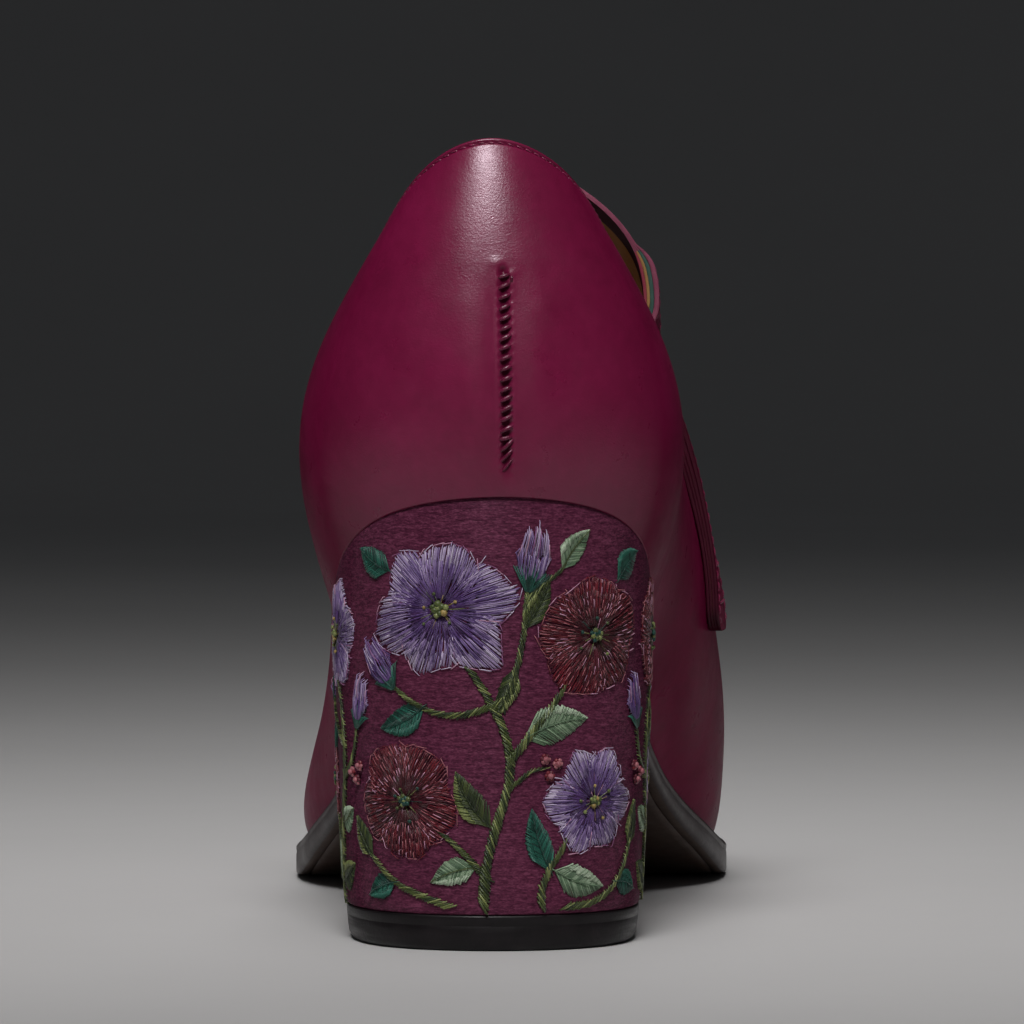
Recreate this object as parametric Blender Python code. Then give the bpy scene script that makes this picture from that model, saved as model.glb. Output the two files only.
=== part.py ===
"""Block heel strap shoe, left foot: hollow leather upper, insole, outsole, covered block heel, lift, instep strap, button.

Sizes are in millimetres and the solids are written in metres. +Z is up, the toe points along +Y and the medial (inner) side
of the foot is at +X. The shoe stands on z = 0; the origin is the bottom centre of its bounding box.
"""

import math

import bmesh
import bpy
import numpy as np

for ob in list(bpy.data.objects):
    bpy.data.objects.remove(ob, do_unlink=True)

MM = 0.001

# ---------------------------------------------------------------- driving sizes (mm)
WALL = 1.9  # upper leather with its lining
GAP = 0.35  # clearance between pieces that meet
INSOLE_THICK = 2.6
SOLE_FORE = 5.65  # outsole thickness under the ball
BREAST_Y = 52.0  # heel breast, ahead of the back of the shoe
HEEL_BASE = 6.0  # top of the lift
STRAP_WIDE = 15.0
STRAP_THICK = 2.8
STRAP_GAP = 0.6  # clearance of the strap over the curved wall
STRAP_END = 1.7  # thickness of the strap's sewn end, pared down
BUTTON_R = 5.5
BUTTON_TALL = 3.2

SIDE_STEPS = 3  # ribs between two table rows
RIB_STEPS = 9  # faces up each rib
TIP = 14  # row of the toe tip
THROAT = 9  # row where the topline crosses the ridge

# Profile of the feather line: distance from the back, height over the floor.
SEAT = [
    # y      z
    (-5.0, 77.8),
    (2.5, 75.2),
    (10.0, 72.0),
    (20.0, 66.9),
    (35.0, 58.8),
    (50.0, 50.6),
    (65.0, 42.2),
    (80.0, 33.6),
    (95.0, 25.3),
    (110.0, 18.1),
    (122.0, 13.1),
    (134.0, 9.2),
    (145.0, 6.9),
    (156.0, 6.0),
    (178.0, 6.0),
    (192.0, 6.5),
    (206.0, 7.6),
    (220.0, 9.3),
    (236.0, 11.8),
]

# Outsole thickness along the shoe.
SOLE_THICK = [
    # y      thickness
    (45.0, 3.4),
    (90.0, 3.8),
    (120.0, 4.6),
    (140.0, 5.3),
    (156.0, SOLE_FORE),
    (240.0, SOLE_FORE),
]

# How far the outsole edge stands out from the feather line, by row.
SOLE_EDGE = [
    # row   out
    (0.0, -0.8),
    (5.0, -0.6),
    (6.5, 0.3),
    (8.0, 2.4),
    (9.0, 3.0),
    (10.0, 3.2),
    (14.0, 3.2),
]

# Feather line in plan, a row per rib station, back to toe tip.
FEATHER = [
    # station        lat_x   lat_y   med_x  med_y
    ("back", 0.0, 2.5, 0.0, 2.5),
    ("heel corner", -15.5, 7.2, 15.5, 7.2),
    ("heel side", -24.2, 19.0, 24.2, 19.0),
    ("quarter", -26.6, 35.0, 26.6, 35.0),
    ("ankle", -25.0, 52.0, 26.2, 52.0),
    ("strap back", -22.8, 71.0, 27.4, 70.0),
    ("waist", -22.6, 91.0, 31.0, 90.0),
    ("fore waist", -24.4, 110.0, 36.2, 110.0),
    ("throat side", -26.9, 128.0, 42.2, 130.0),
    ("throat", -28.2, 147.0, 45.3, 149.0),
    ("ball", -26.8, 167.0, 45.6, 168.0),
    ("vamp", -22.0, 187.0, 42.2, 188.0),
    ("toe side", -13.6, 207.0, 35.0, 208.0),
    ("toe corner", -2.2, 222.0, 24.6, 222.6),
    ("toe tip", 11.5, 228.5, 11.5, 228.5),
]

# Topline (collar and throat edge), rows 0 to the throat.
TOPLINE = [
    # station        lat_x   lat_y  lat_z  med_x  med_y  med_z
    ("back", -1.2, 9.5, 134.0, -1.2, 9.5, 134.0),
    ("heel corner", -12.0, 14.0, 129.2, 10.6, 14.0, 129.2),
    ("heel side", -18.2, 25.0, 119.4, 18.0, 25.0, 119.4),
    ("quarter", -22.4, 39.0, 110.0, 23.2, 39.0, 110.0),
    ("ankle", -24.0, 54.0, 104.0, 26.2, 54.0, 104.0),
    ("strap back", -23.0, 71.0, 99.0, 28.6, 70.0, 99.0),
    ("waist", -20.0, 89.0, 92.5, 30.0, 88.0, 92.0),
    ("fore waist", -15.8, 112.0, 78.2, 29.4, 111.0, 78.6),
    ("throat side", -6.4, 135.5, 61.6, 23.0, 135.5, 62.2),
    ("throat", 8.5, 149.5, 55.0, 8.5, 149.5, 55.0),
]

# Ridge of the vamp, from the throat to the toe tip.
RIDGE = [
    # station         x     y      z
    ("throat", 8.5, 149.5, 55.0),
    ("ball", 9.3, 165.0, 47.8),
    ("vamp", 10.2, 181.0, 41.6),
    ("toe side", 10.9, 194.5, 36.6),
    ("toe corner", 11.3, 204.0, 33.0),
    ("toe tip", 11.4, 208.0, 31.3),
]

# Shape of the wall at each rib: how far it leans out and rises above the feather line, and how far out and below the top
# edge it arrives from.
WALLS = [
    # station       lateral: out  rise  out_top drop_top   medial: out  rise  out_top drop_top
    ("back", 5.4, 18.0, 8.0, 19.0, 5.4, 18.0, 8.0, 19.0),
    ("heel corner", 6.4, 18.0, 9.5, 18.0, 6.4, 18.0, 9.8, 18.0),
    ("heel side", 7.6, 18.5, 11.6, 17.0, 7.6, 18.5, 11.8, 17.0),
    ("quarter", 8.3, 19.0, 12.4, 17.0, 8.3, 19.0, 11.8, 17.0),
    ("ankle", 6.4, 19.0, 10.4, 18.0, 9.0, 19.0, 9.6, 18.0),
    ("strap back", 5.0, 19.0, 8.4, 18.0, 11.6, 18.0, 7.0, 18.0),
    ("waist", 4.5, 19.0, 8.0, 17.0, 14.4, 17.0, 8.6, 18.0),
    ("fore waist", 4.6, 18.0, 8.6, 13.0, 11.6, 18.0, 16.2, 14.0),
    ("throat side", 5.6, 15.0, 14.5, 5.0, 9.8, 20.0, 22.8, 3.5),
    ("throat", 8.0, 13.0, 22.0, 0.5, 8.0, 18.0, 27.0, -0.5),
    ("ball", 7.6, 12.0, 22.0, -0.4, 7.6, 15.5, 25.0, -0.4),
    ("vamp", 7.0, 12.0, 20.0, -0.4, 7.0, 14.0, 21.0, -0.4),
    ("toe side", 6.6, 12.5, 17.0, -0.4, 6.6, 13.0, 17.5, -0.4),
    ("toe corner", 6.2, 13.0, 14.0, -0.4, 6.2, 13.0, 14.0, -0.4),
    ("toe tip", 6.0, 13.0, 13.0, -0.4, 6.0, 13.0, 13.0, -0.4),
]

# Block heel: full width, back and breast position at each height.
HEEL = [
    # z     width  back  breast
    (0.0, 47.2, 6.0, 47.0),
    (1.2, 48.6, 5.3, 47.7),
    (HEEL_BASE, 49.6, 4.7, 48.2),
    (10.0, 50.2, 4.4, 48.5),
    (30.0, 52.3, 3.6, 49.8),
    (50.0, 53.4, 3.2, 51.0),
    (80.0, 53.6, 3.0, BREAST_Y),
]

# Free arch of the strap over the instep: its outer face at the rear edge, how steeply its width slopes down forwards and how
# far its front edge lies towards the middle of the foot.
STRAP_ARCH = [
    # x      y     z     slope_deg  front_x
    (-23.6, 88.6, 91.5, 2.0, 3.0),
    (-22.6, 87.6, 99.0, 4.0, 2.6),
    (-20.6, 86.0, 107.0, 12.0, 1.8),
    (-16.2, 84.6, 117.0, 24.0, 0.8),
    (-7.4, 83.4, 126.4, 34.0, 0.2),
    (6.2, 83.0, 131.9, 38.0, 0.0),
    (19.8, 83.8, 127.0, 34.0, 0.0),
    (29.2, 85.2, 117.2, 24.0, 0.0),
    (31.7, 87.0, 107.0, 12.0, 1.0),
    (30.9, 87.6, 103.0, 8.0, 2.0),
    (30.9, 88.1, 99.0, 4.0, 2.8),
    (34.0, 88.8, 91.5, 2.0, 0.0),
]
STRAP_LAT_Z = (82.0, 76.0, 70.0)  # heights of the rows that lie on the lateral side of the upper
STRAP_MED_Z = (82.0, 74.0, 66.0, 57.0, 48.0)  # and on the medial side
STRAP_RUN = 0.10  # forward drift of the strap per mm of drop
BUTTON_Z = 77.5


# ---------------------------------------------------------------- curves
def smooth(t):
    t = min(1.0, max(0.0, t))
    return t * t * (3.0 - 2.0 * t)


def along(rows, x, col=1):
    """Monotone cubic through column col of a table whose first column is x."""
    xs = [r[0] for r in rows]
    ys = [r[col] for r in rows]
    if x <= xs[0]:
        return ys[0]
    if x >= xs[-1]:
        return ys[-1]
    h = [b - a for a, b in zip(xs, xs[1:])]
    d = [(b - a) / k for a, b, k in zip(ys, ys[1:], h)]
    m = [d[0]]
    for i in range(1, len(d)):
        if d[i - 1] * d[i] <= 0.0:
            m.append(0.0)
        else:
            w1 = 2.0 * h[i] + h[i - 1]
            w2 = h[i] + 2.0 * h[i - 1]
            m.append((w1 + w2) / (w1 / d[i - 1] + w2 / d[i]))
    m.append(d[-1])
    i = max(k for k in range(len(h)) if xs[k] <= x)
    t = (x - xs[i]) / h[i]
    return (
        (1 + 2 * t) * (1 - t) ** 2 * ys[i]
        + t * (1 - t) ** 2 * h[i] * m[i]
        + t * t * (3 - 2 * t) * ys[i + 1]
        + t * t * (t - 1) * h[i] * m[i + 1]
    )


class Curve:
    """C2 cubic through points at whole-number stations, closed or open."""

    def __init__(self, points, closed):
        self.p = np.array(points, float)
        self.closed = closed
        n = len(self.p)
        a = np.zeros((n, n))
        rhs = np.zeros_like(self.p)
        for i in range(n):
            lo, hi = (i - 1) % n, (i + 1) % n
            if not closed and i == 0:
                a[i, 0], a[i, 1] = 2.0, 1.0
                rhs[i] = 3.0 * (self.p[1] - self.p[0])
            elif not closed and i == n - 1:
                a[i, i], a[i, i - 1] = 2.0, 1.0
                rhs[i] = 3.0 * (self.p[i] - self.p[i - 1])
            else:
                a[i, lo], a[i, i], a[i, hi] = 1.0, 4.0, 1.0
                rhs[i] = 3.0 * (self.p[hi] - self.p[lo])
        self.d = np.linalg.solve(a, rhs)

    def at(self, s, slope=False):
        n = len(self.p)
        i = int(math.floor(s))
        if not self.closed:
            i = min(max(i, 0), n - 2)
        t = s - i
        j = (i + 1) % n
        i = i % n
        p, q, u, v = self.p[i], self.p[j], self.d[i], self.d[j]
        if slope:
            return (
                (6 * t * t - 6 * t) * (p - q)
                + (3 * t * t - 4 * t + 1) * u
                + (3 * t * t - 2 * t) * v
            )
        return (
            (1 + 2 * t) * (1 - t) ** 2 * p
            + t * (1 - t) ** 2 * u
            + t * t * (3 - 2 * t) * q
            + t * t * (t - 1) * v
        )


def around(rows, lat, med):
    """Loop of table rows: back, up the medial side, last row, down the lateral side."""
    out = [[r[c] for c in med] for r in rows]
    out += [[r[c] for c in lat] for r in rows[-2:0:-1]]
    return out


FEATHER_LOOP = Curve(around(FEATHER, (1, 2), (3, 4)), True)
TOP_LOOP = Curve(around(TOPLINE, (1, 2, 3), (4, 5, 6)), True)
WALL_LOOP = Curve(around(WALLS, (1, 2, 3, 4), (5, 6, 7, 8)), True)
RIDGE_LINE = Curve([r[1:] for r in RIDGE], False)


def seat_z(y):
    return along(SEAT, y)


def station(side, r, rows):
    """Loop parameter of row r on a side: +1 medial, -1 lateral."""
    return r if side > 0 else 2 * rows - r


def feather(side, r):
    """Point of the feather line in plan and its outward normal."""
    s = station(side, r, TIP)
    x, y = FEATHER_LOOP.at(s)
    tx, ty = FEATHER_LOOP.at(s, True)
    k = math.hypot(tx, ty)
    return np.array((x, y)), np.array((ty / k, -tx / k))


def row_at(side, y):
    """Row where the feather line of one side passes y."""
    lo, hi = 0.0, float(TIP)
    for _ in range(40):
        mid = 0.5 * (lo + hi)
        if feather(side, mid)[0][1] < y:
            lo = mid
        else:
            hi = mid
    return 0.5 * (lo + hi)


def rib(side, r):
    """Four Bezier points of the wall's outer face, from the feather line to the top edge or the ridge."""
    foot2, n = feather(side, r)
    foot = np.array((foot2[0], foot2[1], seat_z(foot2[1])))
    out, rise, out_top, drop = WALL_LOOP.at(station(side, r, TIP))
    if r < THROAT:
        top = TOP_LOOP.at(station(side, r, THROAT))
    else:
        top = RIDGE_LINE.at(r - THROAT)
    t = RIDGE_LINE.at(max(0.0, r - THROAT), True)
    d = foot2 - top[:2]
    d = d / max(1e-6, math.hypot(d[0], d[1]))
    k = smooth((r - 7.4) / 1.6)
    aim = (1 - k) * np.array((n[0], n[1], 0.0)) + k * np.array((d[0], d[1], d[1] * t[2] / t[1]))
    low = foot + np.array((out * n[0], out * n[1], rise))
    high = top + out_top * aim - np.array((0.0, 0.0, drop))
    return foot, low, high, top


def bezier(b, v):
    w = 1.0 - v
    return w**3 * b[0] + 3 * v * w * w * b[1] + 3 * v * v * w * b[2] + v**3 * b[3]


def on_wall(side, y, z, out):
    """Point that stands out from the upper's outer face at y, z, on one side between the ankle and the fore waist."""
    best = min(WALL_KEYS, key=lambda k: (WALL_POINTS[side, *k][1] - y) ** 2 + (WALL_POINTS[side, *k][2] - z) ** 2)
    r, v = best
    p = WALL_POINTS[side, r, v]
    e = 0.02
    a = bezier(rib(side, r + e), v) - p
    c = (bezier(rib(side, r), v + e) - p) if v < 0.5 else (p - bezier(rib(side, r), v - e))
    n = np.cross(a, c)
    n = n / np.linalg.norm(n) * (1.0 if n[0] * side > 0 else -1.0)
    q = np.array((p[0] - ((y - p[1]) * n[1] + (z - p[2]) * n[2]) / n[0], y, z))
    return q + out * n


WALL_KEYS = [(4.5 + 0.1 * i, 0.05 * j) for i in range(31) for j in range(21)]
WALL_POINTS = {(s, r, v): bezier(rib(s, r), v) for s in (1, -1) for r, v in WALL_KEYS}


# ---------------------------------------------------------------- solids
PIECES = {}


def ring_solid(rings):
    """Closed solid from rings of equal length, each ring lying on the next, with a ladder across both ends.

    Point i and point -i of a ring face each other; point 0 and the middle point close its ends.
    """
    n = len(rings[0])
    verts = [p for ring in rings for p in ring]
    faces = []
    for k in range(len(rings) - 1):
        a, b = k * n, (k + 1) * n
        for i in range(n):
            j = (i + 1) % n
            faces.append((a + i, a + j, b + j, b + i))
    for base in (0, (len(rings) - 1) * n):
        half = n // 2
        for i in range(half):
            a, b = base + i, base + i + 1
            c, d = base + (n - i - 1) % n, base + (n - i) % n
            face = [a, b, c, d]
            face = [f for m, f in enumerate(face) if f not in face[:m]]
            faces.append(tuple(face))
    return verts, faces


def make_upper():
    rows = [i / SIDE_STEPS for i in range(TIP * SIDE_STEPS + 1)]
    verts, faces = [], []
    columns = {}
    for side in (1, -1):
        for r in rows:
            if side < 0 and r in (0.0, float(TIP)):
                columns[side, r] = columns[1, r]
                continue
            b = rib(side, r)
            col = []
            for j in range(RIB_STEPS + 1):
                if side < 0 and j == RIB_STEPS and r >= THROAT:
                    col.append(columns[1, r][-1])
                    continue
                col.append(len(verts))
                verts.append(bezier(b, j / RIB_STEPS))
            columns[side, r] = col
    loop = [columns[1, r] for r in rows] + [columns[-1, r] for r in rows[-2::-1]]
    for a, b in zip(loop, loop[1:]):
        for j in range(RIB_STEPS):
            faces.append((a[j], b[j], b[j + 1], a[j + 1]))
    PIECES["upper"] = (verts, faces)


def plan_ring(rows_med, rows_lat, out, height):
    """Ring round the shoe: back point, medial rows, tip, lateral rows, moved outwards, at a height."""
    ring = []
    for side, rows in ((1, rows_med), (-1, rows_lat[::-1])):
        for r in rows:
            p, n = feather(side, r)
            o = out(r) if callable(out) else out
            q = p + o * n
            ring.append((q[0], q[1], height(q[1])))
    return ring


def make_insole():
    n = 28
    rows = [TIP * i / n for i in range(n + 1)]
    rings = []
    for out, lift in ((-2.4, 0.05), (-1.7, INSOLE_THICK - 0.4), (-2.2, INSOLE_THICK)):
        rings.append(plan_ring(rows, rows[1:-1], out, lambda y, k=lift: seat_z(y) + k))
    PIECES["insole"] = ring_solid(rings)


def sole_bottom(y):
    return max(0.0, seat_z(y) - GAP - along(SOLE_THICK, y))


def make_outsole():
    n = 34
    start = {s: row_at(s, BREAST_Y + GAP + 0.3) for s in (1, -1)}
    rows = {s: [start[s] + (TIP - start[s]) * i / n for i in range(n + 1)] for s in (1, -1)}
    levels = (
        (-0.5, lambda y: seat_z(y) - GAP),
        (0.0, lambda y: seat_z(y) - GAP - 0.6),
        (0.0, lambda y: sole_bottom(y) + 0.9),
        (-0.9, sole_bottom),
    )
    rings = []
    for inset, height in levels:
        ring = plan_ring(rows[1], rows[-1][:-1], lambda r, k=inset: along(SOLE_EDGE, r) + k, height)
        a, b = ring[0], ring[-1]
        ring.insert(0, tuple(0.5 * (u + v) for u, v in zip(a, b)))
        rings.append(ring)
    PIECES["outsole"] = ring_solid(rings)


def heel_point(x, y, z):
    """Point of the heel's wall at height z below the feather point x, y."""
    width, back, breast = (along(HEEL, z, c) for c in (1, 2, 3))
    return x * width / 53.6, back + (y - 2.5) * (breast - back) / (BREAST_Y - 2.5)


def heel_columns(n):
    """Feather points round the heel: back, medial side to the breast, across it, lateral side."""
    pts = [(0.0, 2.5)]
    span = [2.5 + (BREAST_Y - 2.5) * (1 - math.cos(0.5 * math.pi * i / n)) for i in range(1, n + 1)]
    side = {s: [(feather(s, row_at(s, y))[0][0], y) for y in span] for s in (1, -1)}
    pts += side[1]
    pts.append((0.0, BREAST_Y))
    pts += side[-1][::-1]
    return pts


def make_heel():
    cols = heel_columns(13)
    steps = 7
    rings = [[] for _ in range(steps + 1)]
    for x, y in cols:
        z = seat_z(y) - GAP
        for _ in range(6):
            z = seat_z(heel_point(x, y, z)[1]) - GAP
        for k in range(steps + 1):
            h = z + (HEEL_BASE + 0.3 - z) * k / steps
            rings[k].append((*heel_point(x, y, h), h))
    PIECES["heel_block"] = ring_solid(rings)
    rings = [[(*heel_point(x, y, h), h) for x, y in cols] for h in (HEEL_BASE, 3.2, 1.2, 0.0)]
    PIECES["heel_top_piece"] = ring_solid(rings)


def strap_lines():
    """Rear, middle and front lines of the strap's outer face, a row per section."""
    lines = ([], [], [])
    for z in STRAP_LAT_Z[::-1]:
        strap_on_wall(lines, -1, z)
    for x, y, z, slope, turn in STRAP_ARCH:
        a = math.radians(slope)
        for k, line in enumerate(lines):
            across = np.array((turn, STRAP_WIDE * math.cos(a), -STRAP_WIDE * math.sin(a)))
            line.append(np.array((x, y, z)) + 0.5 * k * across)
    for z in STRAP_MED_Z:
        strap_on_wall(lines, 1, z)
    return [Curve(line, False) for line in lines]


def strap_thick(x, z):
    """The strap thins towards the end that is sewn on the medial side."""
    if x < 0:
        return STRAP_THICK
    return STRAP_THICK - (STRAP_THICK - STRAP_END) * smooth((86.0 - z) / 24.0)


def strap_on_wall(lines, side, z):
    out = STRAP_GAP + strap_thick(side, z)
    rear = 88.0 + STRAP_RUN * (99.0 - z)
    for k, line in enumerate(lines):
        line.append(on_wall(side, rear + 0.5 * k * STRAP_WIDE, z, out))


def strap_frame(lines, s, k):
    """Point on line k of the strap's outer face at section s, direction across it and outward normal."""
    w = lines[2].at(s) - lines[0].at(s)
    w = w / np.linalg.norm(w)
    n = np.cross(lines[k].at(s, True), w)
    return lines[k].at(s), w, n / np.linalg.norm(n)


def make_strap():
    lines = strap_lines()
    sub = 3
    total = (len(lines[0].p) - 1) * sub
    c = 0.45
    verts, faces = [], []
    for i in range(total + 1):
        end = min(i, total - i)
        pinch = (3.0, 0.9)[end] if end < 2 else 0.0
        (a, w, na), (m, _, nm), (b, _, nb) = (strap_frame(lines, i / sub, k) for k in range(3))
        a, b = a + pinch * w, b - pinch * w
        deep = strap_thick(m[0], m[2])
        verts += [
            a + c * w,
            m,
            b - c * w,
            b - c * nb,
            b - (deep - c) * nb,
            b - c * w - deep * nb,
            m - deep * nm,
            a + c * w - deep * na,
            a - (deep - c) * na,
            a - c * na,
        ]
    n = 10
    for k in range(total):
        for i in range(n):
            j = (i + 1) % n
            faces.append((k * n + i, k * n + j, (k + 1) * n + j, (k + 1) * n + i))
    for base in (0, total * n):
        faces += [tuple(base + i for i in f) for f in ((0, 1, 6, 7), (1, 2, 5, 6), (2, 3, 4, 5), (7, 8, 9, 0))]
    PIECES["strap"] = (verts, faces)
    low = STRAP_LAT_Z[::-1]
    k = max(i for i, z in enumerate(low) if z <= BUTTON_Z)
    return strap_frame(lines, k + (BUTTON_Z - low[k]) / (low[k + 1] - low[k]), 1)


def make_button(seat, _, n):
    u = np.cross(n, (0.0, 1.0, 0.0))
    u = u / np.linalg.norm(u)
    v = np.cross(n, u)
    profile = ((0.86, 0.0), (1.0, 0.16), (1.0, 0.40), (0.90, 0.66), (0.62, 0.90), (0.30, 0.98))
    seg = 20
    base = seat + (GAP + 0.3) * n
    verts, faces = [], []
    for r, h in profile:
        for i in range(seg):
            a = 2 * math.pi * i / seg
            verts.append(base + BUTTON_R * r * (math.cos(a) * u + math.sin(a) * v) + BUTTON_TALL * h * n)
    for k in range(len(profile) - 1):
        for i in range(seg):
            j = (i + 1) % seg
            faces.append((k * seg + i, k * seg + j, (k + 1) * seg + j, (k + 1) * seg + i))
    faces.append(tuple(range(seg - 1, -1, -1)))
    top = len(verts)
    verts.append(base + BUTTON_TALL * n)
    for i in range(seg):
        faces.append(((len(profile) - 1) * seg + i, (len(profile) - 1) * seg + (i + 1) % seg, top))
    PIECES["button"] = (verts, faces)


make_upper()
make_insole()
make_outsole()
make_heel()
make_button(*make_strap())

# ---------------------------------------------------------------- objects
FINISH = {
    # node             colour (linear)          roughness
    "upper": ((0.120, 0.012, 0.050), 0.42),
    "insole": ((0.420, 0.230, 0.090), 0.60),
    "outsole": ((0.030, 0.016, 0.018), 0.50),
    "heel_block": ((0.130, 0.050, 0.095), 0.55),
    "heel_top_piece": ((0.016, 0.013, 0.015), 0.45),
    "strap": ((0.120, 0.012, 0.050), 0.42),
    "button": ((0.110, 0.012, 0.046), 0.38),
}

ALL = np.array([p for verts, _ in PIECES.values() for p in verts])
LOW, HIGH = ALL.min(0), ALL.max(0)
MIDDLE = np.array((0.5 * (LOW[0] + HIGH[0]), 0.5 * (LOW[1] + HIGH[1]), 0.0))

shoe = bpy.data.objects.new("shoe", None)
bpy.context.scene.collection.objects.link(shoe)

for name, (verts, faces) in PIECES.items():
    mesh = bpy.data.meshes.new(name)
    mesh.from_pydata([tuple((np.array(p) - MIDDLE) * MM) for p in verts], [], faces)
    bm = bmesh.new()
    bm.from_mesh(mesh)
    if name != "upper":
        bmesh.ops.recalc_face_normals(bm, faces=bm.faces)
    for f in bm.faces:
        f.smooth = True
    bm.to_mesh(mesh)
    bm.free()
    colour, rough = FINISH[name]
    mat = bpy.data.materials.new(name)
    mat.use_nodes = True
    bsdf = mat.node_tree.nodes["Principled BSDF"]
    bsdf.inputs["Base Color"].default_value = (*colour, 1.0)
    bsdf.inputs["Roughness"].default_value = rough
    bsdf.inputs["Metallic"].default_value = 0.0
    mesh.materials.append(mat)
    ob = bpy.data.objects.new(name, mesh)
    bpy.context.scene.collection.objects.link(ob)
    ob.parent = shoe
    if name == "upper":
        skin = ob.modifiers.new("wall", "SOLIDIFY")
        skin.thickness = WALL * MM
        skin.offset = -1.0
        skin.use_rim = True
        skin.use_even_offset = True

print("middle", [round(float(v), 3) for v in MIDDLE], "box", [round(float(v), 2) for v in HIGH - LOW])
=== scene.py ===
import math
import random

import bpy
import numpy as np
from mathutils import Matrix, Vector
from mathutils.bvhtree import BVHTree


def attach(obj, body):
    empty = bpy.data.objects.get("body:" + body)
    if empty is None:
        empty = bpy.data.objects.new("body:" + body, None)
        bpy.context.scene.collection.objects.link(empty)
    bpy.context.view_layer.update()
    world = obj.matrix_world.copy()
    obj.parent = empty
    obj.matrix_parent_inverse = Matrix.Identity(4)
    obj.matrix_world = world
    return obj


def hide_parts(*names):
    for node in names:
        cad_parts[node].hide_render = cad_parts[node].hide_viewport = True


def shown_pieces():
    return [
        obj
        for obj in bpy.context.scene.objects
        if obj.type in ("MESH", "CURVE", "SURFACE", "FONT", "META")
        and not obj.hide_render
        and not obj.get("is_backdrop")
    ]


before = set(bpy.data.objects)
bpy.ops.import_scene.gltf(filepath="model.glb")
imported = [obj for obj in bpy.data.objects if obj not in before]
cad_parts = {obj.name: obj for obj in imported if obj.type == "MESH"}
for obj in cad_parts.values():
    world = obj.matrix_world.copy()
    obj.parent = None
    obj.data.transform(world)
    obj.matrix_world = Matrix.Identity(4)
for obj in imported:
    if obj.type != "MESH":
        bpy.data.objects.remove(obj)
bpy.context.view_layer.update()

rng = random.Random(11)

MM = 0.001
MIDDLE = np.array((8.335, 115.918, 0.0))  # shoe frame of the tables below minus this is the row frame, in mm

# ================================================================ the shoe's sizes, as in its CAD (mm)
WALL = 1.9
GAP = 0.35
INSOLE_THICK = 2.6
SOLE_FORE = 5.65
BREAST_Y = 52.0
HEEL_BASE = 6.0
STRAP_WIDE = 15.0
STRAP_THICK = 2.8
STRAP_GAP = 0.6
STRAP_END = 1.7
BUTTON_R = 5.5
BUTTON_TALL = 3.2
TIP = 14
THROAT = 9

SEAT = [
    (-5.0, 77.8), (2.5, 75.2), (10.0, 72.0), (20.0, 66.9), (35.0, 58.8), (50.0, 50.6), (65.0, 42.2), (80.0, 33.6),
    (95.0, 25.3), (110.0, 18.1), (122.0, 13.1), (134.0, 9.2), (145.0, 6.9), (156.0, 6.0), (178.0, 6.0), (192.0, 6.5),
    (206.0, 7.6), (220.0, 9.3), (236.0, 11.8),
]
SOLE_THICK = [(45.0, 3.4), (90.0, 3.8), (120.0, 4.6), (140.0, 5.3), (156.0, SOLE_FORE), (240.0, SOLE_FORE)]
SOLE_EDGE = [(0.0, -0.8), (5.0, -0.6), (6.5, 0.3), (8.0, 2.4), (9.0, 3.0), (10.0, 3.2), (14.0, 3.2)]
FEATHER = [
    ("back", 0.0, 2.5, 0.0, 2.5),
    ("heel corner", -15.5, 7.2, 15.5, 7.2),
    ("heel side", -24.2, 19.0, 24.2, 19.0),
    ("quarter", -26.6, 35.0, 26.6, 35.0),
    ("ankle", -25.0, 52.0, 26.2, 52.0),
    ("strap back", -22.8, 71.0, 27.4, 70.0),
    ("waist", -22.6, 91.0, 31.0, 90.0),
    ("fore waist", -24.4, 110.0, 36.2, 110.0),
    ("throat side", -26.9, 128.0, 42.2, 130.0),
    ("throat", -28.2, 147.0, 45.3, 149.0),
    ("ball", -26.8, 167.0, 45.6, 168.0),
    ("vamp", -22.0, 187.0, 42.2, 188.0),
    ("toe side", -13.6, 207.0, 35.0, 208.0),
    ("toe corner", -2.2, 222.0, 24.6, 222.6),
    ("toe tip", 11.5, 228.5, 11.5, 228.5),
]
TOPLINE = [
    ("back", -1.2, 9.5, 134.0, -1.2, 9.5, 134.0),
    ("heel corner", -12.0, 14.0, 129.2, 10.6, 14.0, 129.2),
    ("heel side", -18.2, 25.0, 119.4, 18.0, 25.0, 119.4),
    ("quarter", -22.4, 39.0, 110.0, 23.2, 39.0, 110.0),
    ("ankle", -24.0, 54.0, 104.0, 26.2, 54.0, 104.0),
    ("strap back", -23.0, 71.0, 99.0, 28.6, 70.0, 99.0),
    ("waist", -20.0, 89.0, 92.5, 30.0, 88.0, 92.0),
    ("fore waist", -15.8, 112.0, 78.2, 29.4, 111.0, 78.6),
    ("throat side", -6.4, 135.5, 61.6, 23.0, 135.5, 62.2),
    ("throat", 8.5, 149.5, 55.0, 8.5, 149.5, 55.0),
]
RIDGE = [
    ("throat", 8.5, 149.5, 55.0),
    ("ball", 9.3, 165.0, 47.8),
    ("vamp", 10.2, 181.0, 41.6),
    ("toe side", 10.9, 194.5, 36.6),
    ("toe corner", 11.3, 204.0, 33.0),
    ("toe tip", 11.4, 208.0, 31.3),
]
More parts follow.
